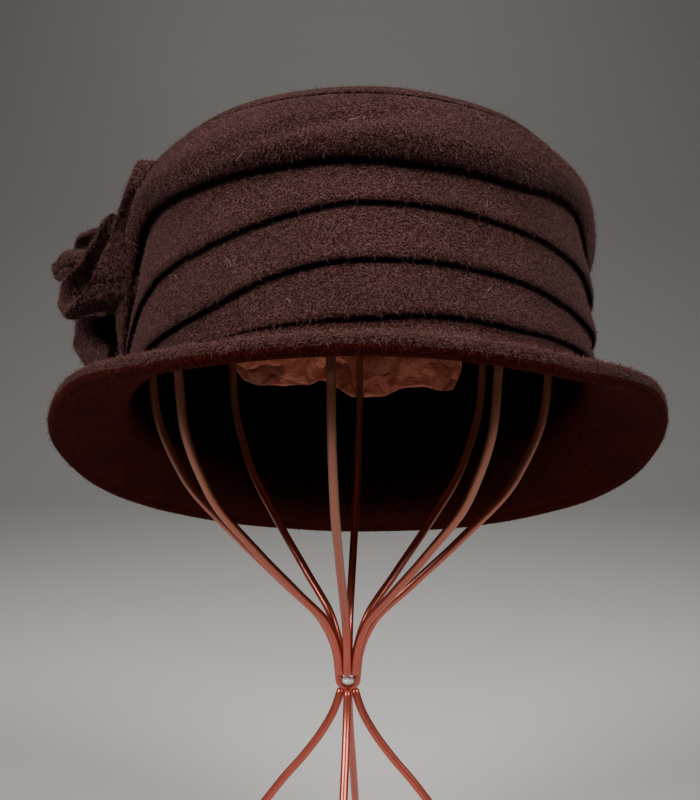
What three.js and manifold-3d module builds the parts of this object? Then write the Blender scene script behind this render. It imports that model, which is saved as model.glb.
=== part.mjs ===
// A draped felt cloche hat with a felt rose, resting on a wire hat stand.
// Millimetres, +Z up. The origin is on the floor under the middle of the whole part.
// The hat is shaped in its own frame: u to the wearer's left, v to the back, w up through the crown,
// with w = 0 at the level of the brim's edge. The stand is shaped about its own upright axis.

import * as THREE from "three";
import { mergeVertices } from "three/addons/utils/BufferGeometryUtils.js";
import Module from "manifold-3d";

const wasm = await Module();
wasm.setup();

// Driving dimensions of the hat
const FELT = 2.8;
const PETAL_FELT = 2.4;
const SEWN_GAP = 0.3;
const CROWN_WIDTH = 190;
const CROWN_LENGTH = 207;
const SEAM_HEIGHT = 105.5;
const TIP_RISE = 17;
const BRIM_REACH = 27;
const BRIM_FRONT_EXTRA = 3;
const BRIM_EDGE_THICKNESS = 7.2;
const FOLD_LIP = 2.2;
const FOLD_HANG = 1.1;
const ROLL_LIP = 5.2;
const ROLL_HANG = 3.2;
const ROLL_BULGE = 5.3;
const LEAST_SWELL = 0.35;
const FULL_SWELL_LIP = 0.625;
const HAT_TILT = 21.7;
const HAT_ROLL = -0.4;

// Driving dimensions of the rose
const ROSE_SIZE = 70;
const ROSE_AZIMUTH = -84;
const ROSE_HEIGHT = 70;
const BUD_RADIUS = 7.4;
const BUD_STAND = 34;
const BUD_TURNS = 1.5;
const BUD_FRONT = -8.4;
const BUD_UP = 13.3;
const BUD_FALL = 6;
const BUD_SLANT = 0.25;
const BUD_FACING = 0.5;
const BUD_OPENS = 0.14;
const BUD_HEART = 0.2;
const BUD_START = 2.4;
const BUD_FELT_SHARE = 0.8;
const SEAT_GAP = 0.45;

// Driving dimensions of the stand
const WIRE = 3.4;
const NECK_HEIGHT = 125;
const CAGE_RADIUS = 81.5;
const CAGE_WIDEST = 132;
const CAGE_TOP = 206;
const RIBS = 8;
const LEGS = 4;
const STAND_TURN = -4;
const RIB_FOOT_RADIUS = 4.5;
const COLLAR_RADIUS = 6.4;
const COLLAR_HEIGHT = 4.4;
const TOP_RADIUS = 7;
const TOP_THICKNESS = 4;
const KNOB_FACE = 0.8;
const KNOB_RIM = 0.5;
const BASE_RADIUS = 85;
const BASE_WIRE = 4;
const LEG_TURN = 86;

// Where the hat sits on the stand
const HAT_SIDE_SHIFT = 3.84;
const BRIM_ABOVE_NECK = 91.3;
const REST_GAP = 0.5;
const REST_SEARCH = { below: 10, rise: 2, firstShare: 0.1, step: 0.05 };

// Driving dimensions of the packing paper over the top of the cage
const PAPER = 0.8;
const PAPER_WIDTH = 106;
const PAPER_CREASE = 5;
const PAPER_GAP = 0.5;
const PAPER_HEM = 117;
const PAPER_FRONT_LEAN = 38;
const PAPER_STEPS = { along: 14, across: 11 };
const CREASE_WAVES = [
  { along: 7.3, across: 4.1, start: 0.6 },
  { along: -5.2, across: 9.7, start: 1.9 },
];

// How finely the round forms are divided
const CROWN_STEPS = 60;
const PETAL_ROW_STEPS = 2;
const PETAL_WALL_STEPS = 3;
const BUD_STEPS = 18;
const SLOPE_STEP = 0.02;
const WIRE_SIDES = 6;
const RIB_STEPS = 17;
const LEG_STEPS = 9;
const DOME_TURNS = [20, 40, 58, 72, 84];
const RING_STEPS = 36;
const BASE_SIDES = 8;
const KNOB_STEPS = 16;

const FELT_COLOUR = 0x49302d;
const COPPER_COLOUR = 0xa9745f;
const PAPER_COLOUR = 0xb98a74;

const rad = THREE.MathUtils.degToRad;

// Round the crown, at azimuths from the back over the wearer's right, the front and the wearer's left.
// The heights are shares of the seam's height: the edge of the brim, where the brim joins the crown, and
// the lower edges of the two folds, the third fold and the big roll. The last two columns say how much
// of their full depth the folds and the roll have there: they run down and flatten under the rose.
const STATIONS = [
  { at: -180, edge: 0.01, joint: 0.22, low: 0.4, mid: 0.58, roll: 0.73, fold: 0.9, lip: 0.5, seam: 1.0 },
  { at: -140, edge: 0.008, joint: 0.2, low: 0.37, mid: 0.56, roll: 0.72, fold: 0.9, lip: 0.5, seam: 1.0 },
  { at: -118, edge: 0.012, joint: 0.18, low: 0.28, mid: 0.45, roll: 0.66, fold: 0.8, lip: 0.5, seam: 1.0 },
  { at: -106, edge: 0.02, joint: 0.17, low: 0.2, mid: 0.26, roll: 0.38, fold: 0.4, lip: 0.3, seam: 0.99 },
  { at: -98, edge: 0.03, joint: 0.17, low: 0.185, mid: 0.2, roll: 0.215, fold: 0.1, lip: 0.1, seam: 0.985 },
  { at: -78, edge: 0.045, joint: 0.17, low: 0.185, mid: 0.2, roll: 0.215, fold: 0.1, lip: 0.12, seam: 0.98 },
  { at: -72, edge: 0.05, joint: 0.17, low: 0.187, mid: 0.21, roll: 0.3, fold: 0.35, lip: 0.6, seam: 0.965 },
  { at: -66, edge: 0.06, joint: 0.17, low: 0.19, mid: 0.33, roll: 0.48, fold: 0.7, lip: 0.85, seam: 0.965 },
  { at: -58, edge: 0.07, joint: 0.17, low: 0.2, mid: 0.43, roll: 0.71, fold: 0.9, lip: 0.95, seam: 0.968 },
  { at: -50, edge: 0.062, joint: 0.17, low: 0.23, mid: 0.475, roll: 0.745, fold: 1.0, lip: 1.0, seam: 0.975 },
  { at: -34, edge: 0.025, joint: 0.17, low: 0.275, mid: 0.508, roll: 0.737, fold: 1.0, lip: 1.0, seam: 0.995 },
  { at: -16, edge: 0.01, joint: 0.177, low: 0.35, mid: 0.555, roll: 0.735, fold: 1.0, lip: 1.0, seam: 0.998 },
  { at: 0, edge: 0.01, joint: 0.186, low: 0.388, mid: 0.592, roll: 0.737, fold: 1.0, lip: 1.0, seam: 1.0 },
  { at: 16, edge: 0.012, joint: 0.21, low: 0.392, mid: 0.592, roll: 0.728, fold: 1.0, lip: 1.0, seam: 1.0 },
  { at: 34, edge: 0.02, joint: 0.22, low: 0.392, mid: 0.583, roll: 0.74, fold: 1.0, lip: 0.9, seam: 1.0 },
  { at: 50, edge: 0.06, joint: 0.245, low: 0.385, mid: 0.587, roll: 0.79, fold: 1.0, lip: 0.8, seam: 0.985 },
  { at: 62, edge: 0.088, joint: 0.26, low: 0.387, mid: 0.587, roll: 0.81, fold: 1.0, lip: 0.6, seam: 0.99 },
  { at: 74, edge: 0.08, joint: 0.265, low: 0.41, mid: 0.58, roll: 0.755, fold: 1.0, lip: 0.5, seam: 1.005 },
  { at: 90, edge: 0.05, joint: 0.265, low: 0.425, mid: 0.578, roll: 0.73, fold: 1.0, lip: 0.5, seam: 1.01 },
  { at: 125, edge: 0.008, joint: 0.25, low: 0.42, mid: 0.58, roll: 0.73, fold: 0.9, lip: 0.5, seam: 1.005 },
  { at: 155, edge: 0.005, joint: 0.23, low: 0.41, mid: 0.58, roll: 0.73, fold: 0.9, lip: 0.5, seam: 1.005 },
  { at: 180, edge: 0.01, joint: 0.22, low: 0.4, mid: 0.58, roll: 0.73, fold: 0.9, lip: 0.5, seam: 1.0 },
];

// A fold's own section: how far up its band, as a share, and how far out, as a share of its lip
const FOLD_SECTION = [
  { up: 0.0, out: 0.85 },
  { up: 0.09, out: 1.0 },
  { up: 0.5, out: 0.5 },
];

// The roll's section above its lower edge, out as a share of its bulge over its lip's own depth
const ROLL_SECTION = [
  { up: 0.0, lip: 0.45, bulge: 0.0 },
  { up: 0.06, lip: 0.85, bulge: 0.1 },
  { up: 0.22, lip: 1.0, bulge: 0.4 },
  { up: 0.48, lip: 0.6, bulge: 0.82 },
  { up: 0.7, lip: 0.14, bulge: 1.0 },
  { up: 0.9, lip: 0.0, bulge: 0.75 },
  { up: 1.0, lip: 0.0, bulge: 0.4 },
];

// The brim's middle line from its joint with the crown to its edge, and how thick the felt is
// there: out is a share of the reach, drop of the fall to the edge, and roll of the edge's extra.
const BRIM_SECTION = [
  { out: 0.0, drop: 0.0, roll: 0.0 },
  { out: 0.03, drop: 0.22, roll: 0.0 },
  { out: 0.16, drop: 0.43, roll: 0.02 },
  { out: 0.4, drop: 0.62, roll: 0.2 },
  { out: 0.68, drop: 0.8, roll: 0.62 },
  { out: 0.88, drop: 0.92, roll: 0.95 },
  { out: 1.0, drop: 1.0, roll: 0.8 },
];

// The tip's section: in is a share of its radius at the seam, up of its rise
const TIP_SECTION = [
  { in: 1.0, up: 0.0 },
  { in: 0.99, up: 0.13 },
  { in: 0.962, up: 0.33 },
  { in: 0.91, up: 0.52 },
  { in: 0.82, up: 0.7 },
  { in: 0.66, up: 0.86 },
  { in: 0.4, up: 0.96 },
  { in: 0.0, up: 1.0 },
];

// The rose's petals: walls of felt that stand out from the crown along a path. Each row is a point
// of the path: towards the front, up, how far the wall stands out, and how far its free edge leans
// to the front and up, all as shares of the rose's size.
const PETALS = {
  petal_front: [
    { front: 0.75, up: 0.43, stand: 0.105, leanFront: 0.0, leanUp: 0.01 },
    { front: 0.7, up: 0.32, stand: 0.075, leanFront: 0.0, leanUp: 0.01 },
    { front: 0.61, up: 0.22, stand: 0.065, leanFront: 0.0, leanUp: -0.02 },
    { front: 0.54, up: 0.09, stand: 0.075, leanFront: 0.0, leanUp: -0.03 },
    { front: 0.51, up: -0.07, stand: 0.12, leanFront: 0.0, leanUp: -0.03 },
    { front: 0.46, up: -0.21, stand: 0.175, leanFront: 0.0, leanUp: -0.05 },
    { front: 0.33, up: -0.29, stand: 0.215, leanFront: 0.0, leanUp: -0.05 },
  ],
  petal_inner: [
    { front: 0.38, up: 0.26, stand: 0.1, leanFront: 0.02, leanUp: 0.03 },
    { front: 0.24, up: 0.22, stand: 0.155, leanFront: 0.05, leanUp: 0.02 },
    { front: 0.08, up: 0.15, stand: 0.23, leanFront: 0.09, leanUp: 0.02 },
    { front: -0.01, up: 0.05, stand: 0.33, leanFront: 0.11, leanUp: 0.0 },
    { front: -0.03, up: -0.06, stand: 0.38, leanFront: 0.11, leanUp: -0.01 },
    { front: 0.05, up: -0.17, stand: 0.36, leanFront: 0.09, leanUp: -0.03 },
    { front: 0.19, up: -0.25, stand: 0.3, leanFront: 0.05, leanUp: -0.05 },
  ],
  petal_upper: [
    { front: 0.06, up: 0.35, stand: 0.19, leanFront: 0.0, leanUp: 0.01 },
    { front: -0.04, up: 0.39, stand: 0.27, leanFront: 0.0, leanUp: 0.02 },
    { front: -0.15, up: 0.42, stand: 0.36, leanFront: 0.0, leanUp: 0.01 },
    { front: -0.26, up: 0.37, stand: 0.42, leanFront: -0.02, leanUp: 0.01 },
    { front: -0.32, up: 0.26, stand: 0.44, leanFront: -0.03, leanUp: 0.0 },
    { front: -0.3, up: 0.12, stand: 0.43, leanFront: -0.03, leanUp: -0.01 },
    { front: -0.22, up: 0.01, stand: 0.4, leanFront: -0.02, leanUp: -0.02 },
  ],
  petal_back: [
    { front: -0.08, up: 0.51, stand: 0.15, leanFront: 0.0, leanUp: 0.03 },
    { front: -0.25, up: 0.47, stand: 0.21, leanFront: -0.02, leanUp: 0.04 },
    { front: -0.38, up: 0.33, stand: 0.25, leanFront: -0.05, leanUp: 0.02 },
    { front: -0.45, up: 0.1, stand: 0.27, leanFront: -0.06, leanUp: 0.0 },
    { front: -0.42, up: -0.13, stand: 0.25, leanFront: -0.05, leanUp: -0.03 },
    { front: -0.3, up: -0.31, stand: 0.21, leanFront: -0.03, leanUp: -0.04 },
    { front: -0.13, up: -0.42, stand: 0.17, leanFront: 0.0, leanUp: -0.04 },
  ],
  petal_lower: [
    { front: -0.13, up: -0.1, stand: 0.26, leanFront: 0.02, leanUp: 0.01 },
    { front: -0.08, up: -0.23, stand: 0.29, leanFront: 0.04, leanUp: 0.0 },
    { front: 0.02, up: -0.36, stand: 0.28, leanFront: 0.05, leanUp: -0.02 },
    { front: 0.09, up: -0.49, stand: 0.225, leanFront: 0.05, leanUp: -0.02 },
    { front: 0.15, up: -0.6, stand: 0.155, leanFront: 0.04, leanUp: -0.02 },
    { front: 0.25, up: -0.69, stand: 0.11, leanFront: 0.02, leanUp: 0.0 },
  ],
};

// The paper's back hem across the cage, and how much shorter the paper is there, both as shares of
// half its width
const PAPER_HEM_SECTION = [
  { across: -1.0, shorter: 0.3 },
  { across: -0.77, shorter: 0.12 },
  { across: -0.24, shorter: 0.15 },
  { across: 0.055, shorter: 0.0 },
  { across: 0.32, shorter: 0.004 },
  { across: 0.81, shorter: 0.085 },
  { across: 1.0, shorter: 0.22 },
];

// The cage's profile from the neck to its widest level: up is a share of that level's height above
// the neck, out is how far the ribs have spread, from their feet to the cage's full radius.
const CAGE_SECTION = [
  { up: 0.0, out: 0.0 },
  { up: 0.085, out: 0.015 },
  { up: 0.185, out: 0.078 },
  { up: 0.297, out: 0.27 },
  { up: 0.445, out: 0.54 },
  { up: 0.63, out: 0.82 },
  { up: 0.85, out: 0.975 },
  { up: 1.0, out: 1.0 },
];

// A leg's path from the neck to the base ring: down is a share of the neck's height, out of the
// base ring's radius.
const LEG_SECTION = [
  { down: 0.0, out: 0.035 },
  { down: 0.1, out: 0.072 },
  { down: 0.16, out: 0.125 },
  { down: 0.26, out: 0.225 },
  { down: 0.37, out: 0.35 },
  { down: 0.68, out: 0.69 },
  { down: 1.0, out: 1.0 },
];

// A smooth curve through a table's column that never overshoots its rows
function curveThrough(rows, key, column) {
  const places = rows.map((row) => row[key]);
  const values = rows.map((row) => row[column]);
  const slopes = [];
  for (let i = 0; i + 1 < rows.length; i += 1) {
    slopes.push((values[i + 1] - values[i]) / (places[i + 1] - places[i]));
  }
  const tangents = values.map((_, i) => {
    const before = slopes[Math.max(i - 1, 0)];
    const after = slopes[Math.min(i, slopes.length - 1)];
    return before * after > 0 ? (2 * before * after) / (before + after) : 0;
  });
  return (place) => {
    let i = 0;
    while (i < rows.length - 2 && places[i + 1] < place) {
      i += 1;
    }
    const span = places[i + 1] - places[i];
    const t = THREE.MathUtils.clamp((place - places[i]) / span, 0, 1);
    const rise = t * t * (3 - 2 * t);
    const lead = t * (1 - t) * (1 - t) * span;
    const trail = t * t * (t - 1) * span;
    return values[i] + (values[i + 1] - values[i]) * rise + tangents[i] * lead + tangents[i + 1] * trail;
  };
}

function curvesThrough(rows, key) {
  const columns = Object.keys(rows[0]).filter((column) => column !== key);
  return Object.fromEntries(columns.map((column) => [column, curveThrough(rows, key, column)]));
}

// The signed volume tells which way a closed mesh's faces point
function signedVolume(geometry) {
  const place = geometry.attributes.position;
  const corner = (n) => new THREE.Vector3().fromBufferAttribute(place, geometry.index.getX(n));
  let volume = 0;
  for (let n = 0; n < geometry.index.count; n += 3) {
    volume += corner(n).dot(corner(n + 1).cross(corner(n + 2))) / 6;
  }
  return volume;
}

// One closed body: shared corners merged, flat triangles dropped, faces pointing out
function closedBody(geometry) {
  const bare = geometry.clone();
  bare.deleteAttribute("normal");
  bare.deleteAttribute("uv");
  const body = mergeVertices(bare, 1e-3);
  const corners = [];
  for (let n = 0; n < body.index.count; n += 3) {
    const face = [0, 1, 2].map((k) => body.index.getX(n + k));
    if (new Set(face).size === 3) {
      corners.push(...face);
    }
  }
  body.setIndex(corners);
  if (signedVolume(body) < 0) {
    for (let n = 0; n < corners.length; n += 3) {
      [corners[n + 1], corners[n + 2]] = [corners[n + 2], corners[n + 1]];
    }
    body.setIndex(corners);
  }
  return body;
}

// A ring-shaped body turned about the upright axis, its corners then placed by the step round the
// ring and the row of the section.
function shapedRing(steps, section, place) {
  const profile = section.map((row, n) => new THREE.Vector2(1 + n / section.length, n));
  const ring = new THREE.LatheGeometry(profile, steps);
  const corner = new THREE.Vector3();
  for (let n = 0; n < ring.attributes.position.count; n += 1) {
    const step = Math.floor(n / section.length) % steps;
    place(corner, (360 * step) / steps - 180, section[n % section.length]);
    ring.attributes.position.setXYZ(n, corner.x, corner.y, corner.z);
  }
  return closedBody(ring);
}

// A sheet with a thickness, its corners placed by the shares along and across it and by its side
function shapedSheet(alongSteps, acrossSteps, place) {
  const sheet = new THREE.BoxGeometry(1, 1, 1, alongSteps, acrossSteps, 1);
  const corner = new THREE.Vector3();
  const from = new THREE.Vector3();
  for (let n = 0; n < sheet.attributes.position.count; n += 1) {
    from.fromBufferAttribute(sheet.attributes.position, n);
    place(corner, from.x + 0.5, from.y + 0.5, from.z);
    sheet.attributes.position.setXYZ(n, corner.x, corner.y, corner.z);
  }
  return closedBody(sheet);
}

function asManifold(geometry) {
  const body = closedBody(geometry);
  const vertProperties = new Float32Array(body.attributes.position.array);
  const triVerts = new Uint32Array(body.index.array);
  return new wasm.Manifold(new wasm.Mesh({ numProp: 3, vertProperties, triVerts }));
}

function asGeometry(manifold) {
  const mesh = manifold.getMesh();
  const geometry = new THREE.BufferGeometry();
  geometry.setAttribute("position", new THREE.Float32BufferAttribute(mesh.vertProperties, mesh.numProp));
  geometry.setIndex(Array.from(mesh.triVerts));
  return geometry;
}

function namedMesh(name, geometry, colour, roughness, metalness) {
  const material = new THREE.MeshStandardMaterial({ color: colour, roughness, metalness });
  const mesh = new THREE.Mesh(geometry, material);
  mesh.name = name;
  return mesh;
}

const feltMesh = (name, geometry) => namedMesh(name, geometry, FELT_COLOUR, 0.95, 0);

// The crown's own surface

const station = curvesThrough(STATIONS, "at");
const halfWidth = CROWN_WIDTH / 2;
const halfLength = CROWN_LENGTH / 2;

// A place on the crown's oval at an azimuth, moved out by a distance, at a height
function onCrown(corner, azimuth, out, height) {
  const turn = rad(azimuth);
  return corner.set((halfWidth + out) * Math.sin(turn), -(halfLength + out) * Math.cos(turn), height);
}

const height = (column, azimuth) => SEAM_HEIGHT * station[column](azimuth);

// The outer rows of the crown from its joint with the brim up to the tip's seam
function bandRows(azimuth) {
  const fold = station.fold(azimuth);
  const lip = station.lip(azimuth);
  const edges = ["joint", "low", "mid", "roll", "seam"].map((column) => height(column, azimuth));
  const hangs = [0, FOLD_HANG * fold, FOLD_HANG * fold, ROLL_HANG * lip, 0];
  const rows = [];
  for (let band = 0; band < 3; band += 1) {
    const top = edges[band + 1] + hangs[band + 1];
    for (const row of FOLD_SECTION) {
      rows.push({ out: FOLD_LIP * fold * row.out, up: THREE.MathUtils.lerp(edges[band], top, row.up) });
    }
    rows.push({ out: 0, up: top });
  }
  const swell = ROLL_BULGE * THREE.MathUtils.lerp(LEAST_SWELL, 1, Math.min(1, lip / FULL_SWELL_LIP));
  for (const row of ROLL_SECTION) {
    const out = ROLL_LIP * lip * row.lip + swell * row.bulge;
    rows.push({ out, up: THREE.MathUtils.lerp(edges[3], edges[4], row.up) });
  }
  return rows;
}

// How far out the crown's surface lies at one azimuth and height
function outAt(azimuth, up) {
  const rows = bandRows(azimuth);
  const higher = rows.findIndex((row) => row.up > up);
  const above = higher < 0 ? rows.length - 1 : Math.max(1, higher);
  const from = rows[above - 1];
  const to = rows[above];
  return THREE.MathUtils.lerp(from.out, to.out, (up - from.up) / (to.up - from.up));
}

// The same for what is sewn onto the crown, which clears the flat facets on either side
function crownOut(azimuth, up) {
  const step = 360 / CROWN_STEPS;
  return Math.max(...[-step / 2, 0, step / 2].map((turn) => outAt(azimuth + turn, up)));
}

const INNER_SHARES = [1, 0.75, 0.5, 0.25, 0];

function crownSide() {
  const outerCount = bandRows(0).length;
  const section = [
    ...Array.from({ length: outerCount }, (_, n) => ({ outer: n })),
    ...INNER_SHARES.map((share) => ({ inner: share })),
    { outer: 0 },
  ];
  return shapedRing(CROWN_STEPS, section, (corner, azimuth, row) => {
    if ("outer" in row) {
      const { out, up } = bandRows(azimuth)[row.outer];
      onCrown(corner, azimuth, out, up);
    } else {
      const up = THREE.MathUtils.lerp(height("joint", azimuth), height("seam", azimuth), row.inner);
      onCrown(corner, azimuth, -FELT, up);
    }
  });
}

// The tip closes the crown above its seam: a shallow dome of the same felt

function seamOut(azimuth) {
  return bandRows(azimuth).at(-1).out;
}

function crownTip() {
  const outer = TIP_SECTION.map((row) => ({ ...row, depth: 0 }));
  const inner = TIP_SECTION.map((row) => ({ ...row, depth: FELT })).reverse();
  const section = [...outer, ...inner, outer[0]];
  return shapedRing(CROWN_STEPS, section, (corner, azimuth, row) => {
    const seam = height("seam", azimuth) + SEWN_GAP;
    const level = THREE.MathUtils.lerp(SEAM_HEIGHT, seam, row.in * row.in);
    const sunk = row.in === 1 ? 0 : row.depth;
    const inset = row.depth * row.in;
    onCrown(corner, azimuth, seamOut(azimuth) - inset, 0);
    corner.multiplyScalar(row.in);
    corner.z = level + TIP_RISE * row.up - sunk * (1 - row.in * row.in * 0.5);
  });
}

// The brim flares from under the crown's lowest fold to a thick soft edge

function brimPoint(azimuth, row) {
  const reach = BRIM_REACH + BRIM_FRONT_EXTRA * Math.abs(Math.cos(rad(azimuth))) - BRIM_EDGE_THICKNESS / 2;
  const top = height("joint", azimuth) - SEWN_GAP;
  const edge = height("edge", azimuth);
  const out = THREE.MathUtils.lerp(-FELT / 2, reach, row.out);
  return new THREE.Vector2(out, THREE.MathUtils.lerp(top, edge, row.drop));
}

function brim() {
  const last = BRIM_SECTION.length - 1;
  const section = [
    ...BRIM_SECTION.map((row, n) => ({ n, side: 1 })),
    { n: last, side: 0 },
    ...BRIM_SECTION.map((row, n) => ({ n: last - n, side: -1 })),
    { n: 0, side: 1 },
  ];
  return shapedRing(CROWN_STEPS, section, (corner, azimuth, row) => {
    const here = brimPoint(azimuth, BRIM_SECTION[row.n]);
    const before = brimPoint(azimuth, BRIM_SECTION[Math.max(row.n - 1, 0)]);
    const after = brimPoint(azimuth, BRIM_SECTION[Math.min(row.n + 1, last)]);
    const along = row.n === 0 ? new THREE.Vector2(0, -1) : after.sub(before).normalize();
    const roll = BRIM_SECTION[row.n].roll;
    const half = THREE.MathUtils.lerp(FELT, BRIM_EDGE_THICKNESS, roll) / 2;
    const place = new THREE.Vector2(-along.y, along.x).multiplyScalar(half * row.side);
    if (row.side === 0) {
      place.copy(along).multiplyScalar(BRIM_EDGE_THICKNESS / 2);
    }
    place.add(here);
    onCrown(corner, azimuth, place.x, place.y);
  });
}

// The rose on the wearer's right

// A place that stands out from the crown: towards the front and up from the rose's middle
function onRose(corner, front, up, stand) {
  const middle = -halfLength * Math.cos(rad(ROSE_AZIMUTH));
  const back = middle - front;
  const azimuth = -THREE.MathUtils.radToDeg(Math.acos(THREE.MathUtils.clamp(-back / halfLength, -1, 1)));
  const level = ROSE_HEIGHT + up;
  onCrown(corner, azimuth, crownOut(azimuth, level), level);
  corner.x -= stand;
  return corner;
}

function petal(rows) {
  const path = curvesThrough(rows.map((row, n) => ({ ...row, n })), "n");
  const count = rows.length - 1;
  return shapedSheet(count * PETAL_ROW_STEPS, PETAL_WALL_STEPS, (corner, along, across, side) => {
    const n = along * count;
    const before = Math.max(n - SLOPE_STEP, 0);
    const after = Math.min(n + SLOPE_STEP, count);
    const front = path.front(n) * ROSE_SIZE;
    const up = path.up(n) * ROSE_SIZE;
    const run = new THREE.Vector2(path.front(after) - path.front(before), path.up(after) - path.up(before));
    run.normalize();
    const lean = across * across;
    const p = front + path.leanFront(n) * ROSE_SIZE * lean - run.y * side * PETAL_FELT;
    const q = up + path.leanUp(n) * ROSE_SIZE * lean + run.x * side * PETAL_FELT;
    const foot = onRose(corner, p, q, 0).x;
    const base = onRose(corner, front, up, 0).x;
    const stand = SEAT_GAP + (path.stand(n) * ROSE_SIZE - SEAT_GAP) * across;
    onRose(corner, p, q, 0);
    corner.x = THREE.MathUtils.lerp(foot, base, across) - stand;
  });
}

// The bud is one strip of felt rolled up, its heart standing out beyond the outer turn. The strip is
// pressed a little thinner than a petal.
function bud() {
  const inner = PETAL_FELT / 2 + BUD_HEART;
  const winding = BUD_RADIUS - PETAL_FELT / 2 - inner;
  return shapedSheet(Math.round(BUD_TURNS * BUD_STEPS), 2, (corner, along, across, side) => {
    const turn = along * BUD_TURNS * 2 * Math.PI + BUD_START;
    const radius = inner + winding * along + side * PETAL_FELT * BUD_FELT_SHARE;
    const opened = radius * (1 + BUD_OPENS * across);
    const front = opened * Math.cos(turn);
    const up = opened * Math.sin(turn);
    const top = BUD_STAND - BUD_FALL * (radius / BUD_RADIUS) ** 2 - BUD_SLANT * up - BUD_FACING * front;
    onRose(corner, BUD_FRONT + front, BUD_UP + up, THREE.MathUtils.lerp(SEAT_GAP, top, across));
  });
}

// The wire stand: eight ribs bowed into a cage, a collar at the neck, four legs and a base ring

const ribSpread = curveThrough(CAGE_SECTION, "up", "out");

// The cage's radius at a height above the neck
function cageRadius(up) {
  if (up <= CAGE_WIDEST) {
    return THREE.MathUtils.lerp(RIB_FOOT_RADIUS, CAGE_RADIUS, ribSpread(up / CAGE_WIDEST));
  }
  const share = (up - CAGE_WIDEST) / (CAGE_TOP - CAGE_WIDEST);
  return CAGE_RADIUS * Math.sqrt(Math.max(0, 1 - share * share));
}

function wireAlong(points, diameter, steps) {
  const section = new THREE.Shape();
  for (let side = 0; side <= WIRE_SIDES; side += 1) {
    const turn = (2 * Math.PI * side) / WIRE_SIDES;
    const draw = side === 0 ? "moveTo" : "lineTo";
    section[draw]((diameter / 2) * Math.cos(turn), (diameter / 2) * Math.sin(turn));
  }
  const extrudePath = new THREE.CatmullRomCurve3(points);
  return new THREE.ExtrudeGeometry(section, { steps, extrudePath, bevelEnabled: false });
}

function ribPoints() {
  const lower = CAGE_SECTION.map((row) => row.up * CAGE_WIDEST);
  const upper = DOME_TURNS.map((turn) => THREE.MathUtils.lerp(CAGE_WIDEST, CAGE_TOP, Math.sin(rad(turn))));
  const bowed = [...lower, ...upper].map((up) => new THREE.Vector3(cageRadius(up), 0, up));
  return [...bowed, new THREE.Vector3(WIRE / 2, 0, CAGE_TOP)];
}

function legPoints() {
  const drop = NECK_HEIGHT - BASE_WIRE / 2;
  return LEG_SECTION.map((row) => new THREE.Vector3(row.out * BASE_RADIUS, 0, -row.down * drop));
}

// A round solder knob about the stand's axis, its rim a share of its size in from the corner
function knob(radius, thickness, level) {
  const half = thickness / 2;
  const corners = [
    [0, -half],
    [KNOB_FACE * radius, -half],
    [radius, -KNOB_RIM * half],
    [radius, KNOB_RIM * half],
    [KNOB_FACE * radius, half],
    [0, half],
  ].map(([out, up]) => new THREE.Vector2(out, level + up));
  return new THREE.LatheGeometry(corners, KNOB_STEPS).rotateX(Math.PI / 2);
}

// A ring of wire with eight sides, one of them flat underneath
function wireRing(radius, diameter, level) {
  const corners = [];
  const halfSide = Math.PI / BASE_SIDES;
  const reach = diameter / 2 / Math.cos(halfSide);
  for (let side = 0; side <= BASE_SIDES; side += 1) {
    const turn = halfSide * (1 + 2 * side);
    corners.push(new THREE.Vector2(radius + reach * Math.cos(turn), level + reach * Math.sin(turn)));
  }
  return new THREE.LatheGeometry(corners, RING_STEPS).rotateX(Math.PI / 2);
}

function wireStand() {
  const rib = wireAlong(ribPoints(), WIRE, RIB_STEPS);
  const leg = wireAlong(legPoints(), WIRE, LEG_STEPS);
  const baseLevel = BASE_WIRE / 2 - NECK_HEIGHT;
  let stand = asManifold(wireRing(BASE_RADIUS, BASE_WIRE, baseLevel));
  stand = stand.add(asManifold(knob(COLLAR_RADIUS, COLLAR_HEIGHT, 0)));
  stand = stand.add(asManifold(knob(TOP_RADIUS, TOP_THICKNESS, CAGE_TOP)));
  for (let n = 0; n < RIBS; n += 1) {
    stand = stand.add(asManifold(rib.clone().rotateZ(rad(STAND_TURN + (360 * n) / RIBS))));
  }
  for (let n = 0; n < LEGS; n += 1) {
    stand = stand.add(asManifold(leg.clone().rotateZ(rad(LEG_TURN + (360 * n) / LEGS))));
  }
  return asGeometry(stand);
}

// The crumpled paper lies over the cage's top, inside the crown, and hangs down behind

const hemShorter = curveThrough(PAPER_HEM_SECTION, "across", "shorter");

function paperPoint(corner, along, across, clear) {
  const bow = CAGE_TOP - CAGE_WIDEST;
  const x = (across - 0.5) * PAPER_WIDTH;
  const sideways = Math.sqrt(1 - (x / CAGE_RADIUS) ** 2);
  const dome = 90 + PAPER_FRONT_LEAN;
  const skirt = CAGE_WIDEST - PAPER_HEM;
  const domeRun = rad(dome) * (CAGE_RADIUS + bow) / 2;
  const shorter = (hemShorter(2 * across - 1) * PAPER_WIDTH) / 2;
  const run = along * (domeRun + skirt - shorter);
  if (run > domeRun) {
    const up = CAGE_WIDEST - (run - domeRun);
    const radius = cageRadius(up) + clear;
    return corner.set(x, Math.sqrt(radius * radius - x * x), up);
  }
  const turn = rad((run / domeRun) * dome - PAPER_FRONT_LEAN);
  return corner.set(
    (x * (CAGE_RADIUS + clear)) / CAGE_RADIUS,
    (CAGE_RADIUS + clear) * sideways * Math.sin(turn),
    CAGE_WIDEST + (bow + clear) * sideways * Math.cos(turn),
  );
}

// Creases of the paper: crossed folds of a few lengths, never less than nothing
function paperCrease(along, across) {
  const [long, cross] = CREASE_WAVES.map((wave) => {
    return Math.abs(Math.sin(wave.along * along + wave.across * across + wave.start));
  });
  return (long + cross) / 2;
}

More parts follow.
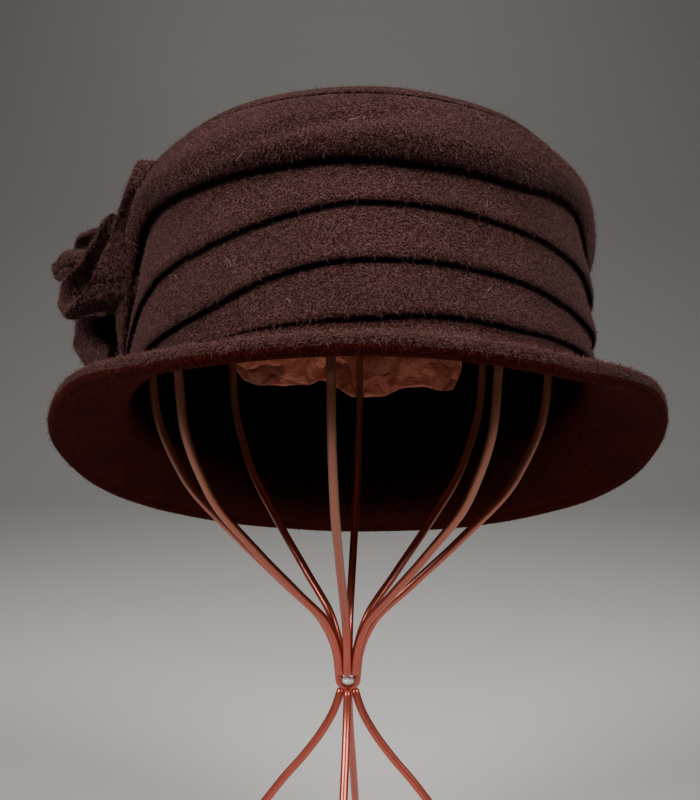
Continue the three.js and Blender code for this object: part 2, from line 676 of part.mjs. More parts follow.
function packingPaper() {
  return shapedSheet(PAPER_STEPS.along, PAPER_STEPS.across, (corner, along, across, side) => {
    const crease = PAPER_CREASE * paperCrease(along, across);
    paperPoint(corner, along, across, WIRE / 2 + PAPER_GAP + crease + (side + 0.5) * PAPER);
  });
}

// The hat is tilted back and slid back until its inner wall rests against the ribs of the cage

// Whether every rib is clear of the inner wall with the hat moved back by a distance
function ribsClear(back) {
  for (let rib = 0; rib < RIBS; rib += 1) {
    const turn = rad(STAND_TURN + (360 * rib) / RIBS);
    for (let up = CAGE_WIDEST - REST_SEARCH.below; up < CAGE_TOP; up += REST_SEARCH.rise) {
      const radius = cageRadius(up) + WIRE / 2;
      const place = new THREE.Vector3(radius * Math.cos(turn), radius * Math.sin(turn), up);
      place.sub(new THREE.Vector3(HAT_SIDE_SHIFT, back, BRIM_ABOVE_NECK)).applyQuaternion(hatUpright);
      const inside = FELT + REST_GAP;
      if (Math.hypot(place.x / (halfWidth - inside), place.y / (halfLength - inside)) > 1) {
        return false;
      }
    }
  }
  return true;
}

function hatBack() {
  let back = CROWN_LENGTH * REST_SEARCH.firstShare;
  while (!ribsClear(back) && back > -CROWN_LENGTH) {
    back -= REST_SEARCH.step;
  }
  return back;
}

const hatTurn = new THREE.Euler(-rad(HAT_TILT), -rad(HAT_ROLL), 0, "YXZ");
const hatUpright = new THREE.Quaternion().setFromEuler(hatTurn).invert();

const hat = new THREE.Group();
hat.add(feltMesh("crown_side", crownSide()));
hat.add(feltMesh("crown_tip", crownTip()));
hat.add(feltMesh("brim", brim()));
hat.add(feltMesh("rose_bud", bud()));
for (const [name, rows] of Object.entries(PETALS)) {
  hat.add(feltMesh(`rose_${name}`, petal(rows)));
}
hat.rotation.copy(hatTurn);
const back = hatBack();
hat.position.set(HAT_SIDE_SHIFT, back, BRIM_ABOVE_NECK);

const part = new THREE.Group();
part.add(hat);
part.add(namedMesh("packing_paper", packingPaper(), PAPER_COLOUR, 0.85, 0));
part.add(namedMesh("wire_stand", wireStand(), COPPER_COLOUR, 0.32, 1));

// The origin lies on the floor under the middle of the whole part
part.updateMatrixWorld(true);
const extent = new THREE.Box3().setFromObject(part, true);
const middle = extent.getCenter(new THREE.Vector3());
part.position.set(-middle.x, -middle.y, -extent.min.z);

export default part;
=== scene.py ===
# The looks of a draped felt cloche hat with a felt rose, resting on its wire hat stand.
# Metres, +Z up, in the frame of the packed model. The hat is shaped in its own frame, x to the wearer's
# left, y to the back and z up through the crown, then tilted onto the stand.

import math

import bmesh
import bpy
import numpy as np
from mathutils import Matrix, Vector, noise


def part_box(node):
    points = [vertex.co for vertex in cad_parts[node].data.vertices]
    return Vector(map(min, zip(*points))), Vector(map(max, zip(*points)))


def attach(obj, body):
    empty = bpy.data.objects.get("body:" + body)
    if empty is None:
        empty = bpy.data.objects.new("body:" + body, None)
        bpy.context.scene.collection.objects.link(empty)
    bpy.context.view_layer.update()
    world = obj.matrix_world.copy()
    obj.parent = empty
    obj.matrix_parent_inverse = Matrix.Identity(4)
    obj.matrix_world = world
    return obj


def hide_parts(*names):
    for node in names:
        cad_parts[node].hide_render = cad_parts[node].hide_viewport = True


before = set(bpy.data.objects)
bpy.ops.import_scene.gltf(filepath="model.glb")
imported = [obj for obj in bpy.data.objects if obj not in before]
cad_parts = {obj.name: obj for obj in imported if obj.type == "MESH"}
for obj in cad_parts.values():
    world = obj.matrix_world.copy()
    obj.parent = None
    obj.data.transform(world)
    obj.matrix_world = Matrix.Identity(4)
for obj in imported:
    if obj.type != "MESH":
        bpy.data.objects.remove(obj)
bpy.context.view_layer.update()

bl_info = {
    "name": "Draped felt cloche on a wire stand",
    "version": (1, 0, 0),
    "blender": (4, 5, 0),
    "location": "View3D > Sidebar > Cloche",
    "description": "Builds a draped felt cloche hat with a felt rose, and the wire stand that it rests on",
    "category": "Add Mesh",
}

MM = 0.001
BODY = "root"
# Corners nearer than the first are one corner, and edges shorter than the second are left out
WELD = 2e-6
SLIVER = 1e-7

# Round the crown, at azimuths from the back over the wearer's right, the front and the wearer's left.
# The heights are shares of the seam's height: the rim of the brim, where it joins the crown, the lower
# edges of the second fold, the third fold and the roll, and the top seam itself. Fold, lip and hem say
# how much of their full depth the folds, the roll and the lowest fold's hem have there.
STATIONS = [
    dict(at=-180, rim=0.01, join=0.22, low=0.4, mid=0.58, roll=0.73, fold=0.9, lip=0.5, hem=0.6, top=1),
    dict(at=-140, rim=0.008, join=0.2, low=0.37, mid=0.56, roll=0.72, fold=0.9, lip=0.5, hem=0.5, top=1),
    dict(at=-118, rim=0.012, join=0.18, low=0.28, mid=0.45, roll=0.66, fold=0.8, lip=0.5, hem=0.3, top=1),
    dict(at=-106, rim=0.02, join=0.17, low=0.2, mid=0.26, roll=0.38, fold=0.4, lip=0.3, hem=0.1, top=0.99),
    dict(at=-98, rim=0.03, join=0.17, low=0.185, mid=0.2, roll=0.215, fold=0.1, lip=0.1, hem=0.1, top=0.985),
    dict(at=-78, rim=0.045, join=0.17, low=0.185, mid=0.2, roll=0.215, fold=0.1, lip=0.12, hem=0.1, top=0.98),
    dict(at=-72, rim=0.05, join=0.17, low=0.187, mid=0.21, roll=0.3, fold=0.35, lip=0.6, hem=0.1, top=0.965),
    dict(at=-66, rim=0.06, join=0.17, low=0.19, mid=0.33, roll=0.48, fold=0.7, lip=0.85, hem=0.1, top=0.965),
    dict(at=-58, rim=0.07, join=0.17, low=0.2, mid=0.43, roll=0.71, fold=0.9, lip=0.95, hem=0.1, top=0.968),
    dict(at=-50, rim=0.062, join=0.17, low=0.23, mid=0.475, roll=0.745, fold=1, lip=1, hem=0.1, top=0.975),
    dict(at=-34, rim=0.025, join=0.17, low=0.275, mid=0.508, roll=0.737, fold=1, lip=1, hem=0.12, top=0.995),
    dict(at=-16, rim=0.01, join=0.177, low=0.35, mid=0.555, roll=0.735, fold=1, lip=1, hem=0.6, top=0.998),
    dict(at=0, rim=0.01, join=0.186, low=0.388, mid=0.592, roll=0.737, fold=1, lip=1, hem=1, top=1),
    dict(at=16, rim=0.012, join=0.21, low=0.392, mid=0.592, roll=0.728, fold=1, lip=1, hem=1, top=1),
    dict(at=34, rim=0.02, join=0.22, low=0.392, mid=0.583, roll=0.74, fold=1, lip=0.9, hem=1, top=1),
    dict(at=50, rim=0.06, join=0.245, low=0.385, mid=0.587, roll=0.79, fold=1, lip=0.8, hem=0.9, top=0.985),
    dict(at=62, rim=0.088, join=0.26, low=0.387, mid=0.587, roll=0.81, fold=1, lip=0.6, hem=0.9, top=0.99),
    dict(at=74, rim=0.08, join=0.265, low=0.41, mid=0.58, roll=0.755, fold=1, lip=0.5, hem=0.9, top=1.005),
    dict(at=90, rim=0.05, join=0.265, low=0.425, mid=0.578, roll=0.73, fold=1, lip=0.5, hem=0.9, top=1.01),
    dict(at=125, rim=0.008, join=0.25, low=0.42, mid=0.58, roll=0.73, fold=0.9, lip=0.5, hem=0.8, top=1.005),
    dict(at=155, rim=0.005, join=0.23, low=0.41, mid=0.58, roll=0.73, fold=0.9, lip=0.5, hem=0.7, top=1.005),
    dict(at=180, rim=0.01, join=0.22, low=0.4, mid=0.58, roll=0.73, fold=0.9, lip=0.5, hem=0.6, top=1),
]

# A fold from the crease behind its lip to where the next fold covers it: rise is a share of its
# height, hang of how far it hangs over the one below, and out of its lip's depth
FOLD_SECTION = [
    dict(rise=0.0, hang=1.0, out=-0.2),
    dict(rise=0.0, hang=0.4, out=0.3),
    dict(rise=0.0, hang=0.05, out=0.72),
    dict(rise=0.035, hang=0.0, out=0.98),
    dict(rise=0.1, hang=0.0, out=1.06),
    dict(rise=0.22, hang=0.0, out=0.9),
    dict(rise=0.45, hang=0.0, out=0.55),
    dict(rise=0.75, hang=0.0, out=0.2),
    dict(rise=1.0, hang=0.0, out=-0.05),
]

# The roll above its own crease, out as a share of its lip's depth and of its bulge
ROLL_SECTION = [
    dict(rise=0.0, hang=1.0, lip=-0.05, bulge=0.0),
    dict(rise=0.0, hang=0.62, lip=0.06, bulge=0.0),
    dict(rise=0.0, hang=0.3, lip=0.3, bulge=0.0),
    dict(rise=0.015, hang=0.08, lip=0.58, bulge=0.03),
    dict(rise=0.06, hang=0.0, lip=0.82, bulge=0.1),
    dict(rise=0.16, hang=0.0, lip=1.0, bulge=0.3),
    dict(rise=0.3, hang=0.0, lip=0.98, bulge=0.55),
    dict(rise=0.48, hang=0.0, lip=0.62, bulge=0.82),
    dict(rise=0.7, hang=0.0, lip=0.14, bulge=1.0),
    dict(rise=0.86, hang=0.0, lip=0.0, bulge=0.84),
    dict(rise=0.95, hang=0.0, lip=0.0, bulge=0.6),
    dict(rise=0.99, hang=0.0, lip=-0.06, bulge=0.38),
    dict(rise=1.0, hang=0.0, lip=-0.3, bulge=0.3),
]

# A shallow dent that runs up over the front of the roll: its height as a share of the seam's, and how
# much of its full depth it has there
DENT = [
    dict(at=-60, up=0.76, depth=0.0),
    dict(at=-44, up=0.785, depth=0.5),
    dict(at=-24, up=0.82, depth=1.0),
    dict(at=-4, up=0.862, depth=1.0),
    dict(at=8, up=0.888, depth=0.6),
    dict(at=20, up=0.9, depth=0.0),
]

# The brim's middle line from the crown to its edge, and how much of the turned edge's extra thickness
# the felt has there
BRIM_SECTION = [
    dict(n=0, out=0.0, drop=0.0, roll=0.0),
    dict(n=1, out=0.03, drop=0.22, roll=0.0),
    dict(n=2, out=0.16, drop=0.43, roll=0.02),
    dict(n=3, out=0.4, drop=0.62, roll=0.2),
    dict(n=4, out=0.68, drop=0.8, roll=0.62),
    dict(n=5, out=0.88, drop=0.92, roll=0.95),
    dict(n=6, out=1.0, drop=1.0, roll=1.0),
]

# The tip's section: reach is a share of its radius at the seam, up of its rise
TIP_SECTION = [
    dict(n=0, reach=0.985, up=-0.03),
    dict(n=1, reach=1.0, up=0.06),
    dict(n=2, reach=0.99, up=0.17),
    dict(n=3, reach=0.962, up=0.34),
    dict(n=4, reach=0.91, up=0.52),
    dict(n=5, reach=0.82, up=0.7),
    dict(n=6, reach=0.66, up=0.86),
    dict(n=7, reach=0.4, up=0.96),
    dict(n=8, reach=0.0, up=1.0),
]

# The rose's petals: walls of felt that stand out from the crown along a path. Each row is a point of
# the path: towards the front, up, how far the wall stands out, and how far its free edge leans to the
# front and up, all as shares of the rose's size.
PETALS = {
    "rose_petal_front": [
        dict(front=0.75, up=0.43, stand=0.105, lean_front=0.0, lean_up=0.01),
        dict(front=0.7, up=0.32, stand=0.075, lean_front=0.0, lean_up=0.01),
        dict(front=0.61, up=0.22, stand=0.065, lean_front=0.0, lean_up=-0.02),
        dict(front=0.54, up=0.09, stand=0.075, lean_front=0.0, lean_up=-0.03),
        dict(front=0.51, up=-0.07, stand=0.16, lean_front=0.0, lean_up=-0.03),
        dict(front=0.46, up=-0.21, stand=0.25, lean_front=0.0, lean_up=-0.05),
        dict(front=0.33, up=-0.29, stand=0.3, lean_front=0.0, lean_up=-0.05),
    ],
    "rose_petal_inner": [
        dict(front=0.38, up=0.26, stand=0.1, lean_front=0.02, lean_up=0.03),
        dict(front=0.24, up=0.22, stand=0.155, lean_front=0.05, lean_up=0.02),
        dict(front=0.08, up=0.15, stand=0.23, lean_front=0.09, lean_up=0.02),
        dict(front=-0.01, up=0.05, stand=0.33, lean_front=0.11, lean_up=0.0),
        dict(front=-0.03, up=-0.06, stand=0.38, lean_front=0.11, lean_up=-0.01),
        dict(front=0.05, up=-0.17, stand=0.36, lean_front=0.09, lean_up=-0.03),
        dict(front=0.19, up=-0.25, stand=0.3, lean_front=0.05, lean_up=-0.05),
    ],
    "rose_petal_upper": [
        dict(front=0.06, up=0.35, stand=0.19, lean_front=0.0, lean_up=0.01),
        dict(front=-0.04, up=0.39, stand=0.27, lean_front=0.0, lean_up=0.02),
        dict(front=-0.15, up=0.42, stand=0.36, lean_front=0.0, lean_up=0.01),
        dict(front=-0.26, up=0.37, stand=0.42, lean_front=-0.02, lean_up=0.01),
        dict(front=-0.32, up=0.26, stand=0.44, lean_front=-0.03, lean_up=0.0),
        dict(front=-0.3, up=0.12, stand=0.43, lean_front=-0.03, lean_up=-0.01),
        dict(front=-0.22, up=0.01, stand=0.4, lean_front=-0.02, lean_up=-0.02),
    ],
    "rose_petal_back": [
        dict(front=-0.08, up=0.51, stand=0.15, lean_front=0.0, lean_up=0.03),
        dict(front=-0.25, up=0.47, stand=0.21, lean_front=-0.02, lean_up=0.04),
        dict(front=-0.38, up=0.33, stand=0.25, lean_front=-0.05, lean_up=0.02),
        dict(front=-0.45, up=0.1, stand=0.27, lean_front=-0.06, lean_up=0.0),
        dict(front=-0.42, up=-0.13, stand=0.25, lean_front=-0.05, lean_up=-0.03),
        dict(front=-0.3, up=-0.31, stand=0.21, lean_front=-0.03, lean_up=-0.04),
        dict(front=-0.13, up=-0.42, stand=0.17, lean_front=0.0, lean_up=-0.04),
    ],
    "rose_petal_lower": [
        dict(front=-0.13, up=-0.1, stand=0.26, lean_front=0.02, lean_up=0.01),
        dict(front=-0.08, up=-0.23, stand=0.29, lean_front=0.04, lean_up=0.0),
        dict(front=0.02, up=-0.36, stand=0.28, lean_front=0.05, lean_up=-0.02),
        dict(front=0.09, up=-0.49, stand=0.225, lean_front=0.05, lean_up=-0.02),
        dict(front=0.15, up=-0.6, stand=0.155, lean_front=0.04, lean_up=-0.02),
        dict(front=0.25, up=-0.69, stand=0.11, lean_front=0.02, lean_up=0.0),
    ],
}

# The paper's back hem across the cage, and how much shorter the paper is there, both as shares of half
# its width
PAPER_HEM = [
    dict(across=-1.0, shorter=0.3),
    dict(across=-0.9, shorter=0.16),
    dict(across=-0.77, shorter=0.12),
    dict(across=-0.35, shorter=0.12),
    dict(across=-0.24, shorter=0.157),
    dict(across=-0.1, shorter=0.094),
    dict(across=0.055, shorter=0.0),
    dict(across=0.32, shorter=0.02),
    dict(across=0.5, shorter=0.085),
    dict(across=0.66, shorter=0.11),
    dict(across=0.8, shorter=0.08),
    dict(across=0.92, shorter=0.09),
    dict(across=1.0, shorter=0.27),
]

# The cage's profile from the neck to its widest level, as shares of that level's height above the neck
# and of the cage's radius
CAGE_SECTION = [
    dict(up=0.0, out=0.042),
    dict(up=0.085, out=0.058),
    dict(up=0.185, out=0.125),
    dict(up=0.297, out=0.308),
    dict(up=0.445, out=0.56),
    dict(up=0.63, out=0.83),
    dict(up=0.85, out=0.976),
    dict(up=1.0, out=1.0),
]

# A leg's path from the neck to the base ring, as shares of the neck's height and the ring's radius
LEG_SECTION = [
    dict(down=0.02, out=0.03),
    dict(down=0.1, out=0.069),
    dict(down=0.178, out=0.134),
    dict(down=0.26, out=0.224),
    dict(down=0.37, out=0.358),
    dict(down=0.68, out=0.69),
    dict(down=1.0, out=1.0),
]


# Sizes and colours that a user would change


def length(name, description, millimetres):
    return bpy.props.FloatProperty(
        name=name, description=description, default=millimetres * MM, unit="LENGTH", precision=4
    )


def angle(name, description, degrees):
    return bpy.props.FloatProperty(
        name=name, description=description, default=math.radians(degrees), subtype="ANGLE", unit="ROTATION"
    )


def linear(hex_colour):
    """The linear values of an sRGB hex colour, with full opacity."""
    channels = [int(hex_colour[n:n + 2], 16) / 255 for n in (1, 3, 5)]
    return tuple(c / 12.92 if c <= 0.04045 else ((c + 0.055) / 1.055) ** 2.4 for c in channels) + (1.0,)


def colour(name, description, hex_colour):
    return bpy.props.FloatVectorProperty(
        name=name, description=description, default=linear(hex_colour), size=4, subtype="COLOR", min=0, max=1
    )


class HatSizes(bpy.types.PropertyGroup):
    """Sizes of the felt hat."""

    crown_width: length("Crown width", "Over the felt, side to side", 190)
    crown_length: length("Crown length", "Over the felt, front to back", 207)
    seam_height: length("Seam height", "From the brim's edge up to the tip's seam", 105.5)
    tip_rise: length("Tip rise", "How far the tip domes up over its seam", 17)
    felt: length("Felt", "Thickness of the crown's wall", 2.8)
    sewn_gap: length("Sewn gap", "Between two pieces that are sewn together", 0.3)
    fold_lip: length("Fold lip", "How far a fold's lower edge stands out", 3.0)
    fold_hang: length("Fold hang", "How far a fold hangs over the one below", 2.4)
    roll_lip: length("Roll lip", "How far the roll's lower edge stands out", 6.0)
    roll_hang: length("Roll hang", "How far the roll hangs over the fold below", 5.0)
    roll_bulge: length("Roll bulge", "How far the roll swells above its edge", 5.3)
    dent_depth: length("Dent depth", "Of the soft dent over the roll", 1.5)
    dent_width: length("Dent width", "Half the width of that dent", 3.2)
    brim_reach: length("Brim reach", "From the crown out to the brim's edge", 27)
    brim_front_extra: length("Brim front extra", "How much wider the brim is at the front and back", 3)
    brim_edge: length("Brim edge", "Thickness of the turned edge of the brim", 7.6)
    hem_place: length("Hem place", "From the brim's edge in to the line of its turned hem", 7)
    hem_dip: length("Hem dip", "Depth of that line", 0.5)
    sway: length("Sway", "How far the hand-draped felt wanders from its true line", 0.7)
    tilt: angle("Tilt", "How far the hat leans back on the stand", 21.7)
    lean: angle("Lean", "How far the hat leans to the wearer's right", 0.4)
    side_shift: length("Side shift", "How far the hat sits beside the stand's axis", 3.84)
    back_shift: length("Back shift", "How far the hat sits behind the stand's axis", -0.35)
    above_neck: length("Above neck", "The brim's edge above the stand's neck", 91.3)


class RoseSizes(bpy.types.PropertyGroup):
    """Sizes of the felt rose on the wearer's right."""

    size: length("Size", "Height and width of the whole rose", 70)
    height: length("Height", "The rose's middle above the brim's edge", 70)
    azimuth: angle("Azimuth", "The rose's middle round the crown from the front", -84)
    felt: length("Petal felt", "Thickness of a petal", 2.4)
    seat_gap: length("Seat gap", "Between a petal's foot and the crown", 0.45)
    bud_radius: length("Bud radius", "Of the rolled bud", 7.4)
    bud_stand: length("Bud stand", "How far the bud stands out from the crown", 34)
    bud_front: length("Bud front", "From the rose's middle forward to the bud's", -8.4)
    bud_up: length("Bud up", "From the rose's middle up to the bud's", 15.5)
    bud_fall: length("Bud fall", "How much lower the bud's outer turn is than its heart", 6)
    bud_turns: bpy.props.FloatProperty(name="Bud turns", description="Turns in the bud's roll", default=1.5)


class StandSizes(bpy.types.PropertyGroup):
    """Sizes of the wire stand."""

    wire: length("Wire", "Thickness of the ribs and legs", 3.4)
    neck_height: length("Neck height", "The neck above the floor", 125)
    cage_radius: length("Cage radius", "Of the ribs at their widest", 81.5)
    cage_widest: length("Cage widest", "Level of the widest place above the neck", 132)
    cage_top: length("Cage top", "Level of the cage's top above the neck", 206)
    base_radius: length("Base radius", "Of the ring on the floor", 85)
    base_wire: length("Base wire", "Thickness of the base ring", 4)
    turn: angle("Turn", "Of the first rib from the wearer's left", -4)
    bend_level: length("Bend level", "Where two ribs bend to meet, above the neck", 1.2)
    bend_drop: length("Bend drop", "How much lower the bent ribs reach than the straight ones", 1.8)
    solder_radius: length("Solder radius", "Of the bead of solder at the neck", 2.5)
    solder_height: length("Solder height", "Of that bead", 3.2)
    solder_level: length("Solder level", "Of that bead's middle above the neck", 0.9)
    solder_forward: length("Solder forward", "Of that bead's middle from the stand's axis", 2.0)
    leg_turn: angle("Leg turn", "Of the first leg from the wearer's left", 86)
    top_radius: length("Top radius", "Of the round plate on the cage", 7)
    top_thickness: length("Top thickness", "Of the round plate on the cage", 4)


class PaperSizes(bpy.types.PropertyGroup):
    """Sizes of the crumpled packing paper."""

    thickness: length("Thickness", "Of the folded paper", 0.5)
    width: length("Width", "Across the cage", 106)
    gap: length("Gap", "Between the paper and the ribs", 0.6)
    crease: length("Crease", "Height of the crumpled folds", 6)
    hem: length("Hem", "Level of the back hem above the neck", 111)
    front_lean: angle("Front lean", "How far the paper reaches over the cage's front", 38)


class ClocheFinish(bpy.types.PropertyGroup):
    """Colours of the hat, the paper and the stand."""

    felt: colour("Felt", "Most of the boiled wool felt", "#2e1310")
    felt_light: colour("Light fibres", "The paler fibres in the felt", "#6c4c47")
    felt_dark: colour("Dark fibres", "The darker fibres in the felt", "#120403")
    # Painted shade: the underside's colours, redder and less grey than the outside's, stand for the shade
    # under the brim
    under: colour("Underside", "Most of the felt's unbrushed underside", "#3a0c06")
    shaded_under_light: colour("Underside light", "The paler fibres of the underside", "#582018")
    shaded_under_dark: colour("Underside dark", "The darker fibres of the underside", "#190402")
    # Painted deep shade: near-black felt colours for the crown's inside and the rose's hollows, where little
    # light reaches
    inside: colour("Inside", "The felt deep in the crown and in the rose", "#170403")
    deep_shade_dark: colour("Inside dark", "The darkest fibres there", "#0a0201")
    lint: colour("Lint", "Stray pale fibres on the felt", "#b59a8c")
    copper: colour("Copper", "Copper plate of the stand", "#a0644e")
    # Painted red reflection: the copper's colour near the neck, redder than its own plate
    copper_red_reflection: colour("Painted red reflection", "The copper's painted red reflection towards the neck", "#c85f4e")
    # Partly painted highlight: the solder is real, but its near-white colour makes it show as a bright spot
    solder: colour("Solder", "Tin solder at the neck", "#efe8e2")
    paper: colour("Paper", "Crumpled packing paper", "#cc7860")
    bloom: colour("Bloom", "Light that the felt's raised fibres catch", "#b9a29c")
    floor: colour("Floor", "The plain pale floor", "#d2cfca")


SIZE_GROUPS = {
    "cloche_hat": HatSizes,
    "cloche_rose": RoseSizes,
    "cloche_stand": StandSizes,
    "cloche_paper": PaperSizes,
    "cloche_finish": ClocheFinish,
}


# Curves through tables


def curve_through(rows, key, column):
    """A smooth curve through a table's column that never overshoots its rows."""
    places = [row[key] for row in rows]
    values = [row[column] for row in rows]
    slopes = [
        (values[n + 1] - values[n]) / (places[n + 1] - places[n]) for n in range(len(rows) - 1)
    ]
    tangents = []
    for n in range(len(rows)):
        before = slopes[max(n - 1, 0)]
        after = slopes[min(n, len(slopes) - 1)]
        tangents.append(2 * before * after / (before + after) if before * after > 0 else 0.0)

    def value(place):
        n = 0
        while n < len(rows) - 2 and places[n + 1] < place:
            n += 1
        span = places[n + 1] - places[n]
        t = min(max((place - places[n]) / span, 0.0), 1.0)
        rise = t * t * (3 - 2 * t)
        lead = t * (1 - t) * (1 - t) * span
        trail = t * t * (t - 1) * span
        return values[n] + (values[n + 1] - values[n]) * rise + tangents[n] * lead + tangents[n + 1] * trail

    return value


def curves_through(rows, key):
    return {column: curve_through(rows, key, column) for column in rows[0] if column != key}


def rounded(points, per_span):
    """More points on a smooth line through a few, with the same first and last."""
    line = []
    last = len(points) - 1
    for n in range(last):
        p0, p1, p2, p3 = (points[min(max(n + k, 0), last)] for k in (-1, 0, 1, 2))
        for step in range(per_span):
            t = step / per_span
            line.append(tuple(
                0.5 * (2 * b + (c - a) * t + (2 * a - 5 * b + 4 * c - d) * t * t
                       + (3 * b - a - 3 * c + d) * t ** 3)
                for a, b, c, d in zip(p0, p1, p2, p3)
            ))
    return line + [tuple(points[-1])]


def mix(a, b, share):
    return a + (b - a) * share


# Meshes


def finished(name, bm, materials, nodes=()):
    """The bmesh as a named piece on the body, with its finishes and the nodes that it stands for."""
    mesh = bpy.data.meshes.new(name)
    bm.to_mesh(mesh)
    bm.free()
    mesh.shade_smooth()
    piece = bpy.data.objects.new(name, mesh)
    bpy.context.scene.collection.objects.link(piece)
    for material in materials:
        mesh.materials.append(material)
    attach(piece, BODY)
    if nodes:
        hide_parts(*nodes)
    return piece


def shaped_grid(columns, rows, place):
    """A grid whose corners are placed by their column and row, and merged where they meet."""
    bm = bmesh.new()
    bm.loops.layers.uv.new("UVMap")
    bmesh.ops.create_grid(bm, x_segments=columns, y_segments=rows, size=0.5, calc_uvs=True)
    for corner in bm.verts:
        column = round((corner.co.x + 0.5) * columns)
        row = round((corner.co.y + 0.5) * rows)
        corner.co = place(column, row)
    bmesh.ops.remove_doubles(bm, verts=bm.verts, dist=WELD)
    bmesh.ops.dissolve_degenerate(bm, edges=bm.edges, dist=SLIVER)
    bmesh.ops.recalc_face_normals(bm, faces=bm.faces)
    return bm


def wander(x, y, z, size, seed):
    """Smooth noise of about the given size, from -1 to 1."""
    return noise.noise(Vector((x / size + seed * 7.1, y / size - seed * 3.7, z / size + seed * 1.3)))


# The felt is blocked and draped by hand. For each piece: the size of the waves in it, how deep they are
# as a share of the hat's sway, and the noise that they come from
WAVES = {
    "side": dict(size=45 * MM, depth=0.6, seed=3),
    "tip": dict(size=30 * MM, depth=0.7, seed=5),
    "brim": dict(size=50 * MM, depth=1.0, seed=8),
}


def strayed(hat, piece, corner):
    """How far a piece of felt strays from its true surface at a corner."""
    wave = WAVES[piece]
    return wander(*corner, wave["size"], wave["seed"]) * hat.sway * wave["depth"]


# The crown's own surface

HEIGHTS = ["join", "low", "mid", "roll", "top"]
SWAYING = ["low", "mid", "roll"]
# The size of the waves in a draped edge, on a round of radius 1
EDGE_WAVE = 0.35
# The roll swells by no less than this share of its bulge, and by all of it from this share of its lip on
LEAST_SWELL = 0.35
FULL_SWELL_LIP = 0.625
# Steps on the smooth line between two rows of the sections
FOLD_STEPS = 3
ROLL_STEPS = 4


class Crown:
    """The outer surface of the crown in the hat's own frame."""

    def __init__(self, hat):
        self.half_width = hat.crown_width / 2
        self.half_length = hat.crown_length / 2
        self.seam_height = hat.seam_height
        self.fold_lip, self.fold_hang = hat.fold_lip, hat.fold_hang
        self.roll_lip, self.roll_hang, self.roll_bulge = hat.roll_lip, hat.roll_hang, hat.roll_bulge
        self.sway = hat.sway
        self.dent_depth, self.dent_width = hat.dent_depth, hat.dent_width
        self.station = curves_through(STATIONS, "at")
        self.dent = curves_through(DENT, "at")
        self.lines = {}

    def place(self, azimuth, out, height):
        turn = math.radians(azimuth)
        return Vector((
            (self.half_width + out) * math.sin(turn), -(self.half_length + out) * math.cos(turn), height
        ))

    def height(self, column, azimuth):
        return self.seam_height * self.station[column](azimuth)

    def swayed(self, column, azimuth):
        """The height of a fold's edge, which wanders a little because it is draped by hand."""
        turn = math.radians(azimuth)
        off = wander(math.sin(turn), math.cos(turn), 0, EDGE_WAVE, HEIGHTS.index(column))
        return self.height(column, azimuth) + (self.sway * off if column in SWAYING else 0)

    def dented(self, azimuth, up):
        """How deep the dent over the roll is at an azimuth and a height."""
        if not DENT[0]["at"] < azimuth < DENT[-1]["at"]:
            return 0.0
        away = (up - self.seam_height * self.dent["up"](azimuth)) / self.dent_width
        return self.dent_depth * self.dent["depth"](azimuth) * math.exp(-away * away)

    def line(self, azimuth):
        """Points (out, up) of the crown's outer line at an azimuth, from the brim up to the seam."""
        key = round(azimuth, 4)
        if key in self.lines:
            return self.lines[key]
        fold, lip, hem = (self.station[c](azimuth) for c in ("fold", "lip", "hem"))
        edges = [self.swayed(c, azimuth) for c in HEIGHTS]
        hangs = [0.0, self.fold_hang * fold, self.fold_hang * fold, self.roll_hang * lip, 0.0]
        lips = [self.fold_lip * hem, self.fold_lip * fold, self.fold_lip * fold]
        points = []
        for band in range(3):
            top = edges[band + 1] + hangs[band + 1]
            section = [
                (lips[band] * r["out"], mix(edges[band], top, r["rise"]) + hangs[band] * r["hang"])
                for r in FOLD_SECTION
            ]
            points += rounded(section, FOLD_STEPS)[:-1]
        swell = self.roll_bulge * mix(LEAST_SWELL, 1.0, min(1, lip / FULL_SWELL_LIP))
        section = [
            (
                self.roll_lip * lip * r["lip"] + swell * r["bulge"],
                mix(edges[3], edges[4], r["rise"]) + hangs[3] * r["hang"],
            )
            for r in ROLL_SECTION
        ]
        points += [(out - self.dented(azimuth, up), up) for out, up in rounded(section, ROLL_STEPS)]
        self.lines[key] = points
        return points

    def out_at(self, azimuth, up):
        """How far out the crown's skin lies at an azimuth and a height."""
        line = self.line(azimuth)
        crossings = [
            mix(out_a, out_b, (up - up_a) / (up_b - up_a))
            for (out_a, up_a), (out_b, up_b) in zip(line, line[1:])
            if min(up_a, up_b) <= up <= max(up_a, up_b) and up_a != up_b
        ]
        nearest_end = line[0] if up < line[0][1] else line[-1]
        return max(crossings, default=nearest_end[0])


# Columns round the hat, and rows down the inside of the crown's side
CROWN_COLUMNS = 360
INNER_ROWS = 8
# Rows of a mesh to each row of its section
ROWS_PER_STATION = 5
# The point of the crown's line that the tip is sewn to, and how much less of the tip's thickness goes
# down into the crown at its seam
SEWN_POINT = -3
SEAM_THINNING = 0.5
# The rows that round the brim's turned edge, and the width of the stitched line above and below it
EDGE_ROWS = 9
HEM_WIDTH = 0.9 * MM
# The part of a row over which a section's direction is measured
SHORT_STEP = 0.02


def azimuth_at(column):
    """The azimuth in degrees of a column of the crown's and the brim's meshes."""
    return 360 * (column % CROWN_COLUMNS) / CROWN_COLUMNS - 180


def crown_side_mesh(hat, crown):
    outer = len(crown.line(0))
    rows = outer + INNER_ROWS

    def place(column, row):
        azimuth = azimuth_at(column)
        if row % rows < outer:
            out, up = crown.line(azimuth)[row % rows]
            corner = crown.place(azimuth, out, up)
        else:
            share = (row - outer) / (INNER_ROWS - 1)
            up = mix(crown.height("top", azimuth), crown.height("join", azimuth), share)
            corner = crown.place(azimuth, -hat.felt, up)
        return corner + Vector((corner.x, corner.y, 0)).normalized() * strayed(hat, "side", corner)

    return shaped_grid(CROWN_COLUMNS, rows, place)


